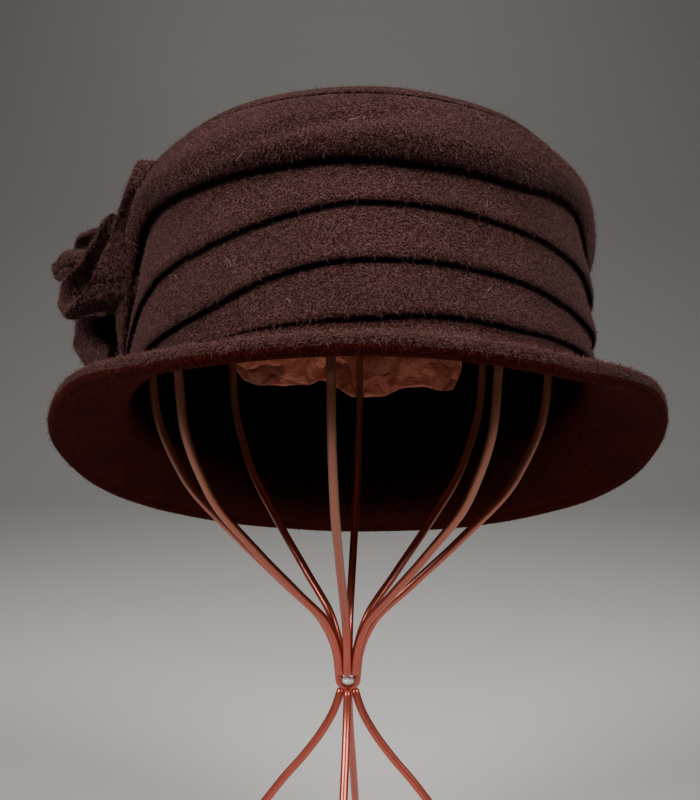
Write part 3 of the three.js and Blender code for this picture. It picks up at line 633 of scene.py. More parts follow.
def crown_tip_mesh(hat, crown):
    curves = curves_through(TIP_SECTION, "n")
    last = (len(TIP_SECTION) - 1) * ROWS_PER_STATION
    rows = 2 * last + 1

    def place(column, row):
        azimuth = azimuth_at(column)
        row = row % rows
        inside = row > last
        n = (rows - row if inside else row) / ROWS_PER_STATION
        reach, rise = curves["reach"](n), curves["up"](n)
        seam = crown.height("top", azimuth) + hat.sewn_gap
        level = mix(hat.seam_height, seam, reach * reach)
        edge = crown.line(azimuth)[SEWN_POINT][0]
        wall = hat.felt * (1 if inside else 0)
        corner = crown.place(azimuth, edge - wall * reach, 0) * reach
        sunk = wall * min(1, n / 2) * (1 - SEAM_THINNING * reach * reach)
        corner.z = level + hat.tip_rise * rise - sunk
        corner.z += strayed(hat, "tip", corner) if n >= 1 else 0
        return corner

    return shaped_grid(CROWN_COLUMNS, rows, place)


def brim_mesh(hat, crown):
    curves = curves_through(BRIM_SECTION, "n")
    stations = len(BRIM_SECTION) - 1
    top = stations * ROWS_PER_STATION + 1
    rows = 2 * top + EDGE_ROWS

    def middle(azimuth, n):
        cosine = math.cos(math.radians(azimuth))
        reach = hat.brim_reach + hat.brim_front_extra * abs(cosine) - hat.brim_edge / 2
        inner = crown.height("join", azimuth) - hat.sewn_gap
        rim = crown.height("rim", azimuth)
        return Vector((mix(-hat.felt / 2, reach, curves["out"](n)), mix(inner, rim, curves["drop"](n))))

    def place(column, row):
        azimuth = azimuth_at(column)
        row = row % rows
        if row < top:
            n, turn = row / ROWS_PER_STATION, math.pi / 2
        elif row < top + EDGE_ROWS:
            n, turn = stations, math.pi * (0.5 - (row - top + 1) / (EDGE_ROWS + 1))
        else:
            n, turn = (rows - 1 - row) / ROWS_PER_STATION, -math.pi / 2
        here = middle(azimuth, n)
        along = middle(azimuth, min(n + SHORT_STEP, stations)) - middle(azimuth, max(n - SHORT_STEP, 0))
        along = Vector((0, -1)) if n == 0 else along.normalized()
        across = Vector((-along.y, along.x))
        half = mix(hat.felt, hat.brim_edge, curves["roll"](n)) / 2
        point = here + (across * math.sin(turn) + along * math.cos(turn)) * half
        corner = crown.place(azimuth, point.x, point.y)
        from_edge = (middle(azimuth, stations) - here).length + hat.brim_edge / 2
        on_face = row < top or row >= top + EDGE_ROWS
        hem = math.exp(-((from_edge - hat.hem_place) / HEM_WIDTH) ** 2) if on_face else 0
        corner.z -= hat.hem_dip * hem * math.copysign(1, turn)
        corner.z += strayed(hat, "brim", corner) * curves["out"](n)
        return corner

    return shaped_grid(CROWN_COLUMNS, rows, place)


# The rose

# Columns to each row of a petal's path and to each turn of the bud, and rows up their sides and round
# their free edges
PETAL_COLUMNS, PETAL_ROWS = 14, 14
BUD_COLUMNS, BUD_ROWS = 60, 10
NOSE_ROWS = 8
# A petal's ends are rounded over this part of a row of its path, and go down to this share of its height
PETAL_END = 0.35
PETAL_END_STAND = 0.75
# A petal's free edge waves to both sides, and stands unevenly by a share of its height: how far, and
# over what size, in metres and in rows of its path
PETAL_WAVE, PETAL_WAVE_SIZE = 1.6 * MM, 16 * MM
PETAL_UNEVEN, PETAL_UNEVEN_SIZE = 0.06, 0.8
# The part of the petals' height, from the crown out, that lies deep in the rose, painted in deep shade
ROSE_DEEP = 0.3

# The bud's roll: the turn that it starts at, the gap at its heart, the share of its length over which
# each end is rounded, and the ripple of its free edge
BUD_START = 2.4
BUD_GAP = 0.2 * MM
BUD_END = 0.03
BUD_RIPPLE, BUD_RIPPLE_START = 0.5 * MM, 1
# How much wider the bud is at its free edge, and how steeply that edge slopes up and to the front
BUD_OPENS = 0.14
BUD_SLANT = 0.25
BUD_FACING = 0.5


def end_rounding(to_end):
    """The share of its full thickness that a wall has near its end, from 0 there to 1 at one away."""
    return math.sqrt(max(0.0, 1 - (1 - min(to_end, 1)) ** 2))


class Rose:
    """Places on the crown's side that stand out towards the wearer's right."""

    def __init__(self, rose, crown):
        self.rose, self.crown = rose, crown
        self.middle = -crown.half_length * math.cos(rose.azimuth)

    def place(self, front, up, stand):
        back = self.middle - front
        cosine = min(max(-back / self.crown.half_length, -1), 1)
        azimuth = -math.degrees(math.acos(cosine))
        level = self.rose.height + up
        corner = self.crown.place(azimuth, self.crown.out_at(azimuth, level), level)
        corner.x -= stand
        return corner


def wall_section(across_rows, nose_rows):
    """The closed section of a felt wall: up one side, over its rounded edge and down the other."""
    section = [(n / across_rows, -1.0, 0.0) for n in range(across_rows + 1)]
    for n in range(1, nose_rows):
        turn = math.pi * n / nose_rows
        section.append((1.0, -math.cos(turn), math.sin(turn)))
    return section + [(n / across_rows, 1.0, 0.0) for n in range(across_rows, -1, -1)]


def petal_mesh(rose, ground, rows, seed):
    path = curves_through([dict(row, n=n) for n, row in enumerate(rows)], "n")
    count = len(rows) - 1
    columns = count * PETAL_COLUMNS
    section = wall_section(PETAL_ROWS, NOSE_ROWS)
    size = rose.size

    def place(column, row):
        across, side, nose = section[row % len(section)]
        n = count * column / columns
        ahead, behind = min(n + SHORT_STEP, count), max(n - SHORT_STEP, 0)
        run = Vector([path[way](ahead) - path[way](behind) for way in ("front", "up")]).normalized()
        end_round = end_rounding(min(n, count - n) / PETAL_END)
        half = rose.felt / 2 * end_round
        lean = across * across
        front = path["front"](n) * size
        up = path["up"](n) * size
        wave = wander(front, up, 0, PETAL_WAVE_SIZE, seed) * PETAL_WAVE * across
        p = front + path["lean_front"](n) * size * lean - run.y * (side * half + wave)
        q = up + path["lean_up"](n) * size * lean + run.x * (side * half + wave)
        foot = ground.place(p, q, 0)
        base = ground.place(front, up, 0)
        tall = path["stand"](n) * size * mix(PETAL_END_STAND, 1.0, end_round)
        tall *= 1 + PETAL_UNEVEN * wander(n, seed, 0, PETAL_UNEVEN_SIZE, seed)
        stand = mix(rose.seat_gap, tall - half, across) + nose * half
        return Vector((mix(foot.x, base.x, across) - stand, foot.y, foot.z))

    return shaped_grid(columns, len(section), place)


def painted_shade_in_rose(bm):
    """A test for the faces of a petal that lie deep between it and its neighbours, which get painted deep
    shade.
    """
    grown = bm.loops.layers.uv.active

    def is_in_painted_shade(face):
        share = sum(loop[grown].uv.y for loop in face.loops) / len(face.loops)
        return min(share, 1 - share) < ROSE_DEEP / 2

    return is_in_painted_shade


def bud_mesh(rose, ground):
    columns = round(rose.bud_turns * BUD_COLUMNS)
    section = wall_section(BUD_ROWS, NOSE_ROWS)
    inner = rose.felt / 2 + BUD_GAP
    winding = rose.bud_radius - rose.felt / 2 - inner

    def place(column, row):
        across, side, nose = section[row % len(section)]
        along = column / columns
        turn = along * rose.bud_turns * 2 * math.pi + BUD_START
        half = rose.felt / 2 * end_rounding(min(along, 1 - along) / BUD_END)
        radius = inner + winding * along + side * half
        opened = radius * (1 + BUD_OPENS * across)
        front = opened * math.cos(turn)
        up = opened * math.sin(turn)
        top = rose.bud_stand - rose.bud_fall * (radius / rose.bud_radius) ** 2 - half
        top -= BUD_SLANT * up + BUD_FACING * front
        top += BUD_RIPPLE * math.sin(2 * turn + BUD_RIPPLE_START)
        return ground.place(
            rose.bud_front + front, rose.bud_up + up, mix(rose.seat_gap, top, across) + nose * half
        )

    return shaped_grid(columns, len(section), place)


# The wire stand

# Steps up a rib, and degrees over the cage's dome and round the bend of the side ribs under the neck
RIB_STEPS = 24
DOME_TURNS = range(8, 88, 8)
BEND_TURNS = range(165, 0, -15)
# The straight ribs: how far the first stands from the side ribs, in degrees, and how many stand evenly
# round the cage with it
STRAIGHT_RIBS = ((90, 2), (45, 4))
LEGS = 4
RING_STEPS = 128
# How lumpy the solder is, as a share of its size
SOLDER_LUMPS = 0.12


def cage_radius(stand, spread, up):
    """How far the cage stands out at a level above the neck."""
    if up <= stand.cage_widest:
        return stand.cage_radius * spread(up / stand.cage_widest)
    share = (up - stand.cage_widest) / (stand.cage_top - stand.cage_widest)
    return stand.cage_radius * math.sqrt(max(0.0, 1 - share * share))


def wire_mesh(points, diameter, sides=20):
    """A round wire along points of the upright plane, its ends rounded off."""
    line = rounded([tuple(p) for p in points], 6)
    last = len(line) - 1
    to_end = [min(math.dist(spot, line[0]), math.dist(spot, line[-1])) / (diameter / 2) for spot in line]

    def place(column, row):
        here = Vector(line[row])
        along = Vector(line[min(row + 1, last)]) - Vector(line[max(row - 1, 0)])
        along.normalize()
        out = Vector((along.z, 0, -along.x))
        turn = 2 * math.pi * (column % sides) / sides
        radius = diameter / 2 * end_rounding(to_end[row])
        return here + (out * math.cos(turn) + Vector((0, 1, 0)) * math.sin(turn)) * radius

    return shaped_grid(sides, last, place)


def add_turned(bm, piece, first, count):
    """Adds copies of a piece evenly round the upright axis."""
    mesh = bpy.data.meshes.new("part")
    bmesh.ops.rotate(piece, verts=piece.verts, cent=(0, 0, 0), matrix=Matrix.Rotation(first, 3, "Z"))
    if count > 1:
        bmesh.ops.spin(
            piece, geom=piece.verts[:] + piece.edges[:] + piece.faces[:], cent=(0, 0, 0), axis=(0, 0, 1),
            angle=2 * math.pi * (count - 1) / count, steps=count - 1, use_duplicate=True,
        )
    piece.to_mesh(mesh)
    piece.free()
    bm.from_mesh(mesh)
    bpy.data.meshes.remove(mesh)


def add_turning(bm, outline, steps=64):
    """Adds a solid turned about the upright axis from its outline of (out, up)."""
    corners = [bm.verts.new((out, 0, up)) for out, up in outline]
    edges = [bm.edges.new(pair) for pair in zip(corners, corners[1:])]
    bmesh.ops.spin(
        bm, geom=corners + edges, cent=(0, 0, 0), axis=(0, 0, 1), angle=2 * math.pi, steps=steps,
        use_merge=True, use_duplicate=False,
    )


def ring_outline(radius, thickness, level, sides=20):
    """The outline of a ring of round wire about the upright axis."""
    turns = [2 * math.pi * n / sides for n in range(sides + 1)]
    return [
        (radius + thickness / 2 * math.cos(turn), level + thickness / 2 * math.sin(turn)) for turn in turns
    ]


def bead_outline(radius, half_height, level, step):
    """The outline of a flattened ball on the upright axis."""
    turns = [math.radians(t) for t in range(0, 181, step)]
    return [(radius * math.sin(turn), level + half_height * math.cos(turn)) for turn in turns]


def stand_mesh(stand):
    bm = bmesh.new()
    spread = curve_through(CAGE_SECTION, "up", "out")
    levels = [stand.cage_widest * n / RIB_STEPS for n in range(RIB_STEPS + 1)]
    levels += [mix(stand.cage_widest, stand.cage_top, math.sin(math.radians(t))) for t in DOME_TURNS]

    def rib(start):
        line = [Vector((cage_radius(stand, spread, up), 0, up)) for up in [start, *levels] if up >= start]
        return [*line, Vector((stand.wire / 2, 0, stand.cage_top))]

    straight = rib(stand.bend_level + stand.bend_drop)
    for turn, count in STRAIGHT_RIBS:
        add_turned(bm, wire_mesh(straight, stand.wire), stand.turn + math.radians(turn), count)
    corner = cage_radius(stand, spread, stand.bend_level)
    bend = [
        Vector((corner * math.cos(math.radians(t)), 0, stand.bend_level - corner * math.sin(math.radians(t))))
        for t in BEND_TURNS
    ]
    side = rib(stand.bend_level)
    other_side = [Vector((-spot.x, 0, spot.z)) for spot in reversed(side)]
    add_turned(bm, wire_mesh([*other_side, *bend, *side], stand.wire), stand.turn, 1)
    drop = stand.neck_height - stand.base_wire / 2
    leg = [Vector((row["out"] * stand.base_radius, 0, -row["down"] * drop)) for row in LEG_SECTION]
    add_turned(bm, wire_mesh(leg, stand.wire), stand.leg_turn, LEGS)
    base_level = stand.base_wire / 2 - stand.neck_height
    add_turning(bm, ring_outline(stand.base_radius, stand.base_wire, base_level), RING_STEPS)
    add_turning(bm, bead_outline(stand.top_radius, stand.top_thickness / 2, stand.cage_top, 15))
    bmesh.ops.remove_doubles(bm, verts=bm.verts, dist=WELD)
    bmesh.ops.recalc_face_normals(bm, faces=bm.faces)
    return bm


def solder_mesh(stand):
    """The bead of solder in the bend of the ribs, which shows in front."""
    bm = bmesh.new()
    add_turning(bm, bead_outline(stand.solder_radius, stand.solder_height / 2, stand.solder_level, 12))
    for corner in bm.verts:
        corner.co *= 1 + SOLDER_LUMPS * wander(*corner.co, stand.solder_radius, seed=2)
        corner.co.y -= stand.solder_forward
    bmesh.ops.remove_doubles(bm, verts=bm.verts, dist=WELD)
    bmesh.ops.recalc_face_normals(bm, faces=bm.faces)
    return bm


# The packing paper

PAPER_COLUMNS = 240
PAPER_ROWS = 150
# The folds' and the facets' cells: their sizes across and along the paper, the layer of noise that they
# come from, and how much of the crumpled height they give
FOLDS = dict(size=(13 * MM, 30 * MM), layer=0.3, depth=0.5)
FACETS = dict(size=(6 * MM, 8 * MM), layer=0.7, depth=0.22)
# The folds run slantwise, and are bent this far over waves of this size
FOLD_SLANT = 0.6
FOLD_BEND, FOLD_BEND_SIZE = 5 * MM, 20 * MM
# The pleats, which are longer than wide: their width, that ratio, how sharp they are and how high
PLEAT_SIZE, PLEAT_RATIO, PLEAT_SHARPNESS, PLEAT_DEPTH = 14 * MM, 0.35, 3, 0.45
# How ragged the paper's two hems are, and over what size
FRONT_RAGS, FRONT_RAG_SIZE = 4 * MM, 18 * MM
BACK_RAGS, BACK_RAG_SIZE = 0.8 * MM, 8 * MM


def cell_height(across, along, cells):
    """The height of crumpled cells at a place, which is least on the lines between them."""
    wide, long = cells["size"]
    distances, _ = noise.voronoi(Vector((across / wide, along / long, cells["layer"])))
    return cells["depth"] * (distances[1] - distances[0])


def crumple(x, run):
    """How far the crumpled paper stands out, from 0 to 1: broad folds, small facets and sharp pleats."""
    bent = run + FOLD_SLANT * x + FOLD_BEND * wander(x, run, 0, FOLD_BEND_SIZE, seed=9)
    pleat = 1 - min(1.0, PLEAT_SHARPNESS * abs(wander(x, bent * PLEAT_RATIO, 0, PLEAT_SIZE, seed=6)))
    return min(1.0, cell_height(x, bent, FOLDS) + cell_height(x, run, FACETS) + PLEAT_DEPTH * pleat)


def paper_mesh(paper, stand):
    columns, last = PAPER_COLUMNS, PAPER_ROWS
    rows = 2 * last + 1
    spread = curve_through(CAGE_SECTION, "up", "out")
    bow = stand.cage_top - stand.cage_widest
    dome = math.pi / 2 + paper.front_lean
    dome_run = dome * (stand.cage_radius + bow) / 2
    skirt = stand.cage_widest - paper.hem
    back_hem = curve_through(PAPER_HEM, "across", "shorter")

    def place(column, row):
        inside = row > last
        along, across = (rows - row if inside else row) / last, column / columns
        x = (across - 0.5) * paper.width
        run = along * (dome_run + skirt)
        shorter = back_hem(2 * across - 1) * paper.width / 2
        shorter += wander(x, 0, 0, BACK_RAG_SIZE, seed=4) * BACK_RAGS
        longer = wander(x, 0, 0, FRONT_RAG_SIZE, seed=4) * FRONT_RAGS
        run += mix(longer, -shorter, along)
        clear = stand.wire / 2 + paper.gap + paper.crease * crumple(x, run)
        if not inside and 0 < row < last and 0 < column < columns:
            clear += paper.thickness
        sideways = math.sqrt(1 - (x / stand.cage_radius) ** 2)
        if run > dome_run:
            up = stand.cage_widest - (run - dome_run)
            radius = cage_radius(stand, spread, up) + clear
            return Vector((x, math.sqrt(radius * radius - x * x), up))
        turn = run / dome_run * dome - paper.front_lean
        return Vector((
            x * (stand.cage_radius + clear) / stand.cage_radius,
            (stand.cage_radius + clear) * sideways * math.sin(turn),
            stand.cage_widest + (bow + clear) * sideways * math.cos(turn),
        ))

    return shaped_grid(columns, rows, place)


# Materials


def add_node(tree, kind, links=None, **settings):
    """Adds a node, sets its properties and sockets, and links its sockets from other nodes' outputs."""
    node = tree.nodes.new(kind)
    for name, value in settings.items():
        if hasattr(node, name):
            setattr(node, name, value)
        else:
            node.inputs[name.replace("_", " ")].default_value = value
    for socket, (source, output) in (links or {}).items():
        tree.links.new(source.outputs[output], node.inputs[socket])
    return node


def new_material(name):
    """A material without nodes but for the coordinates on its piece."""
    material = bpy.data.materials.new(name)
    material.use_nodes = True
    tree = material.node_tree
    tree.nodes.clear()
    return material, tree, add_node(tree, "ShaderNodeTexCoord")


def add_noise(tree, where, size, detail, **settings):
    """Noise of about the given size on the piece."""
    return add_node(
        tree, "ShaderNodeTexNoise", {"Vector": (where, "Object")}, Scale=1 / size, Detail=detail, **settings
    )


def add_toned(tree, tone, tint, least, most):
    """A tint that a tone, as (node, output), makes darker and lighter."""
    shade = add_node(tree, "ShaderNodeMapRange", {"Value": tone}, To_Min=least, To_Max=most)
    return add_node(tree, "ShaderNodeHueSaturation", {"Value": (shade, "Result")}, Color=tint)


def add_surface(tree, links, **settings):
    """A principled shader as the surface of the material."""
    shader = add_node(tree, "ShaderNodeBsdfPrincipled", links, **settings)
    add_node(tree, "ShaderNodeOutputMaterial", {"Surface": (shader, "BSDF")})


# Where painted shade darkens the brim's underside, as shares of its grid: along its section from the edge
# in to the crown, and round it from the side to the back
FADE_TO_CROWN = dict(From_Min=0.67, From_Max=0.8)
FADE_TO_BACK = dict(From_Min=0.3, From_Max=0.43)
# The share of colour left where the painted shade is darkest
DARKEST_PAINTED_FADE = 0.1
# The front's place round that grid
FRONT_SHARE = 0.5


def add_painted_fade(tree):
    """Painted shade on the brim's underside: the share of its colour kept, least at the back, next to the
    crown.
    """
    own = add_node(tree, "ShaderNodeUVMap", uv_map="UVMap")
    apart = add_node(tree, "ShaderNodeSeparateXYZ", {"Vector": (own, "UV")})
    near_crown = add_node(tree, "ShaderNodeMapRange", {"Value": (apart, "Y")}, **FADE_TO_CROWN)
    from_front = add_node(tree, "ShaderNodeMath", {0: (apart, "X")}, operation="SUBTRACT")
    from_front.inputs[1].default_value = FRONT_SHARE
    turned = add_node(tree, "ShaderNodeMath", {0: (from_front, "Value")}, operation="ABSOLUTE")
    at_back = add_node(tree, "ShaderNodeMapRange", {"Value": (turned, "Value")}, **FADE_TO_BACK)
    both = add_node(
        tree, "ShaderNodeMath", {0: (near_crown, "Result"), 1: (at_back, "Result")}, operation="MULTIPLY"
    )
    return add_node(tree, "ShaderNodeMapRange", {"Value": (both, "Value")}, To_Min=1.0, To_Max=DARKEST_PAINTED_FADE)


def felt_material(name, finish, dark, middle, light, sheen, fades=False):
    """Boiled wool felt: dyed fibres matted every way, so that it is matt, with a soft bloom at its edges."""
    material, tree, where = new_material(name)
    fibre = add_noise(tree, where, 0.6 * MM, 4.0, Roughness=0.7, Distortion=0.6)
    matted = add_noise(tree, where, 3.2 * MM, 3.0, Roughness=0.6, Distortion=1.2)
    cloudy = add_noise(tree, where, 22 * MM, 2.0)
    heather = add_node(tree, "ShaderNodeValToRGB", {"Fac": (fibre, "Fac")})
    ramp = heather.color_ramp
    ramp.elements[0].position = 0.33
    ramp.elements[0].color = dark
    ramp.elements[1].position = 0.66
    ramp.elements[1].color = light
    body = ramp.elements.new(0.5)
    body.color = middle
    shade = add_node(
        tree, "ShaderNodeMapRange", {"Value": (cloudy, "Fac")}, From_Min=0.3, From_Max=0.7, To_Min=0.82,
        To_Max=1.15,
    )
    # With fades, painted shade darkens the colour towards the back of the brim's underside
    shades = [shade, add_painted_fade(tree)] if fades else [shade]
    toned = heather
    for shade in shades:
        toned = add_node(
            tree, "ShaderNodeHueSaturation", {"Color": (toned, "Color"), "Value": (shade, "Result")}
        )
    fine = add_node(tree, "ShaderNodeBump", {"Height": (fibre, "Fac")}, Strength=1.0, Distance=0.6 * MM)
    rough = add_node(
        tree, "ShaderNodeBump", {"Height": (matted, "Fac"), "Normal": (fine, "Normal")}, Strength=0.6,
        Distance=0.8 * MM,
    )
    add_surface(
        tree, {"Base Color": (toned, "Color"), "Normal": (rough, "Normal")}, Roughness=0.95,
        Sheen_Weight=sheen, Sheen_Roughness=0.45, Sheen_Tint=finish.bloom, Specular_IOR_Level=0.04,
    )
    return material


def fuzz_material(name, tint):
    """Loose wool fibres, which are matt and not all of one shade."""
    material, tree, where = new_material(name)
    tone = add_noise(tree, where, 2 * MM, 1.0)
    toned = add_toned(tree, (tone, "Fac"), tint, 0.6, 1.4)
    add_surface(tree, {"Base Color": (toned, "Color")}, Roughness=0.9, Specular_IOR_Level=0.1)
    return material


# The levels above the neck between which a painted red reflection fades in on the copper, full below the
# lower
RED_REFLECTION_LEVELS = (20 * MM, 95 * MM)
# The mix node's sockets for two colours and for their mixture
COLOUR_A, COLOUR_B, MIXED_COLOUR = 6, 7, 2


def copper_material(finish, neck_level):
    """Copper plate on drawn wire: satin, with fine draw lines, and a painted red reflection towards the neck.
    """
    material, tree, where = new_material("satin copper plate on drawn wire")
    apart = add_node(tree, "ShaderNodeSeparateXYZ", {"Vector": (where, "Object")})
    # Painted red reflection: the copper's colour turns redder towards the neck
    reflected_red = add_node(
        tree, "ShaderNodeMapRange", {"Value": (apart, "Z")}, From_Min=neck_level + RED_REFLECTION_LEVELS[1],
        From_Max=neck_level + RED_REFLECTION_LEVELS[0], To_Min=0.0, To_Max=1.0,
    )
    plate = add_node(tree, "ShaderNodeMix", {"Factor": (reflected_red, "Result")}, data_type="RGBA")
    plate.inputs[COLOUR_A].default_value = finish.copper
    plate.inputs[COLOUR_B].default_value = finish.copper_red_reflection
    patchy = add_noise(tree, where, 9 * MM, 3.0)
    gloss = add_node(tree, "ShaderNodeMapRange", {"Value": (patchy, "Fac")}, To_Min=0.29, To_Max=0.38)
    grain = add_noise(tree, where, 0.7 * MM, 2.0)
    drawn = add_node(tree, "ShaderNodeBump", {"Height": (grain, "Fac")}, Strength=0.05, Distance=0.05 * MM)
    add_surface(
        tree,
        {"Base Color": (plate, MIXED_COLOUR), "Roughness": (gloss, "Result"), "Normal": (drawn, "Normal")},
        Metallic=0.7, Coat_Weight=0.4, Coat_Roughness=0.15,
    )
    return material


def solder_material(finish):
    """Tin solder, satin and a little lumpy, tarnished by its flux; its near-white colour and low metal paint
    a bright highlight.
    """
    material, tree, where = new_material("tin solder")
    tarnish = add_noise(tree, where, 1.5 * MM, 3.0)
    toned = add_toned(tree, (tarnish, "Fac"), finish.solder, 0.7, 1.2)
    add_surface(tree, {"Base Color": (toned, "Color")}, Metallic=0.3, Roughness=0.35)
    return material


# The facets of the crumpled paper, each painted in its own shade, and its fine crinkles, and how far its
# facets are swirled out of true, over what size
FACET_SIZE = 11 * MM
CRINKLE_SIZE = 3 * MM
SWIRL, SWIRL_SIZE = 14 * MM, 15 * MM


def paper_material(finish):
    """Thin packing paper: matt, each crumpled facet painted in its own shade, with fine crinkles."""
    material, tree, where = new_material("crumpled packing paper")
    swirl = add_noise(tree, where, SWIRL_SIZE, 2.0)
    bent = add_node(
        tree, "ShaderNodeVectorMath", {0: (swirl, "Color"), 2: (where, "Object")}, operation="MULTIPLY_ADD"
    )
    bent.inputs[1].default_value = [SWIRL] * 3

    def add_cells(size, **settings):
        links = {"Vector": (bent, "Vector")}
        return add_node(tree, "ShaderNodeTexVoronoi", links, Scale=1 / size, **settings)

    facet = add_cells(FACET_SIZE)
    crease = add_cells(FACET_SIZE, feature="DISTANCE_TO_EDGE")
    crinkle = add_cells(CRINKLE_SIZE, feature="DISTANCE_TO_EDGE")
    # Painted shade: each cell lighter and darker at random, as light would fall on its slant
    facet_shade = add_node(tree, "ShaderNodeSeparateColor", {"Color": (facet, "Color")})
    toned = add_toned(tree, (facet_shade, "Red"), finish.paper, 0.55, 1.25)
    fold = add_node(tree, "ShaderNodeBump", {"Height": (crease, "Distance")}, Strength=1.0, Distance=4 * MM)
    fine = add_node(
        tree, "ShaderNodeBump", {"Height": (crinkle, "Distance"), "Normal": (fold, "Normal")}, Strength=0.6,
        Distance=1.0 * MM,
    )
    add_surface(tree, {"Base Color": (toned, "Color"), "Normal": (fine, "Normal")}, Roughness=0.75)
    return material


FLOOR_PATCHES = 1 / 3


def floor_material(finish):
    """Matt painted board, pale and plain."""
    material, tree, where = new_material("matt painted board")
    tone = add_noise(tree, where, FLOOR_PATCHES, 2.0)
    toned = add_toned(tree, (tone, "Fac"), finish.floor, 0.97, 1.03)
    add_surface(tree, {"Base Color": (toned, "Color")}, Roughness=0.9)
    return material


# Loose fibres on the felt

# How many fibres stand on each piece's outside and on one piece of the rose, how many under the brim,
# and how many long pale ones lie on each piece
FUZZ = {"felt_crown_side": 46000, "felt_crown_tip": 13000, "felt_brim": 24000}
ROSE_FUZZ = 3000
UNDER_FUZZ = 20000
LINT = {"felt_crown_side": 60, "felt_brim": 30, "felt_crown_tip": 12}
# The fibres' length, their width and how far they stand up
WOOL = dict(reach=2.0 * MM, width=0.12 * MM, lift=0.9)
STRAY = dict(reach=5 * MM, width=0.12 * MM, lift=0.25)
# The first noise of each kind
FUZZ_SEED, UNDER_SEED, LINT_SEED = 11, 31, 41
# One fibre's length and lift against the usual, how far it curls and how much it droops at its end
LENGTHS = (0.5, 1.3)
LIFTS = (0.3, 1.0)
CURL = 0.5
DROOP = 0.35
# Its width along its length, as shares of both
BLADE = ((0.0, 1.0), (0.5, 0.8), (1.0, 0.25))


def fuzz_mesh(name, source, count, seed, inside_share, reach, width, lift):
    """Short bent fibres that stand on a piece's faces, as one mesh of thin blades.

    The faces with the second finish have only a share of the fibres that their size calls for.
    """
    rng = np.random.default_rng(seed)
    mesh = source.data
    mesh.calc_loop_triangles()
    corners = np.zeros(len(mesh.loop_triangles) * 3, np.int32)
    mesh.loop_triangles.foreach_get("vertices", corners)
    places = np.zeros(len(mesh.vertices) * 3)
    mesh.vertices.foreach_get("co", places)
    a, b, c = places.reshape(-1, 3)[corners.reshape(-1, 3)].transpose(1, 0, 2)
    cross = np.cross(b - a, c - a)
    area = np.linalg.norm(cross, axis=1)
    finishes = np.zeros(len(mesh.polygons), np.int32)
    mesh.polygons.foreach_get("material_index", finishes)
    owners = np.zeros(len(mesh.loop_triangles), np.int32)
    mesh.loop_triangles.foreach_get("polygon_index", owners)
    hairy = area * np.where(finishes[owners] == 0, 1.0, inside_share)
    pick = rng.choice(len(area), size=count, p=hairy / hairy.sum())
    u, v = rng.random((2, count, 1))
    flip = u + v > 1
    u, v = np.where(flip, 1 - u, u), np.where(flip, 1 - v, v)
    root = a[pick] + u * (b[pick] - a[pick]) + v * (c[pick] - a[pick])
    normal = cross[pick] / area[pick, None]
    side = np.cross(normal, rng.normal(size=(count, 3)))
    side /= np.linalg.norm(side, axis=1, keepdims=True)
    lying = np.cross(normal, side)
    long = reach * rng.uniform(*LENGTHS, (count, 1))
    up = lift * rng.uniform(*LIFTS, (count, 1))
    curl = rng.uniform(-CURL, CURL, (count, 1))
    stations = []
    for share, wide in BLADE:
        lean = lying * (1 - up * (1 - share)) + normal * up * (1 - DROOP * share)
        middle = root + long * share * lean
        middle += side * long * curl * share * share
        half = side * width / 2 * wide
        stations += [middle - half, middle + half]
    blades = np.stack(stations, axis=1).reshape(-1, 3)
    first = 6 * np.arange(count)[:, None, None]
    faces = (first + np.array([[0, 1, 3, 2], [2, 3, 5, 4]])[None]).reshape(-1, 4)
    made = bpy.data.meshes.new(name)
    made.from_pydata(blades.tolist(), [], faces.tolist())
    return made


def add_fuzz(name, source, material, count, seed, fibre, inside_share=0.0):
    made = fuzz_mesh(name, bpy.data.objects[source], count, seed, inside_share, **fibre)
    made.materials.append(material)
    piece = bpy.data.objects.new(name, made)
    bpy.context.scene.collection.objects.link(piece)
    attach(piece, BODY)
    return piece


# Where things stand


def stand_place(scene):
    low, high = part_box("wire_stand")
    return Matrix.Translation(((low.x + high.x) / 2, (low.y + high.y) / 2, scene.cloche_stand.neck_height))


def hat_place(scene):
    hat = scene.cloche_hat
    shift = Matrix.Translation((hat.side_shift, hat.back_shift, hat.above_neck))
    turn = Matrix.Rotation(hat.lean, 4, "Y") @ Matrix.Rotation(-hat.tilt, 4, "X")
    return stand_place(scene) @ shift @ turn


# The felt's outside, and its copies in painted shade

OUTSIDE = "boiled wool felt"
PAINTED_UNDER_SHADE = "unbrushed felt underneath"
PAINTED_DEEP_SHADE = "unbrushed felt deep inside"
# How far up a face's normal points at most for painted shade: inside the crown, under its tip and under the
# brim
INSIDE_SLOPE = 0.5
TIP_SLOPE = -0.5
BRIM_SLOPE = -0.35


def felts(scene, second):
    """The outside of the felt, and a second finish, a copy of it in painted shade, for the faces in shade."""
    finish = scene.cloche_finish
    # Both second finishes paint shade: colours redder and darker than the outside's, and little sheen
    tones = {
        OUTSIDE: (finish.felt_dark, finish.felt, finish.felt_light, 0.18),
        PAINTED_UNDER_SHADE: (finish.shaded_under_dark, finish.under, finish.shaded_under_light, 0.02, True),
        PAINTED_DEEP_SHADE: (finish.deep_shade_dark, finish.inside, finish.inside, 0.0),
    }
    return [
        bpy.data.materials.get(name) or felt_material(name, finish, *tones[name])
        for name in (OUTSIDE, second)
    ]


def give_second_finish(bm, wanted):
    """Gives the faces that a test picks the felt's second finish, its painted shade."""
    for face in bm.faces:
        face.material_index = 1 if wanted(face) else 0


def is_inside(face):
    """Whether a face of the hat, in its own frame, looks into its hollow from the side."""
    middle = face.calc_center_median()
    away = face.normal.x * middle.x + face.normal.y * middle.y
    return away < 0 and face.normal.z < INSIDE_SLOPE


def is_under_tip(face):
    """Whether a face of the crown's tip, in the hat's own frame, looks down into the hollow."""
    return face.normal.z < TIP_SLOPE


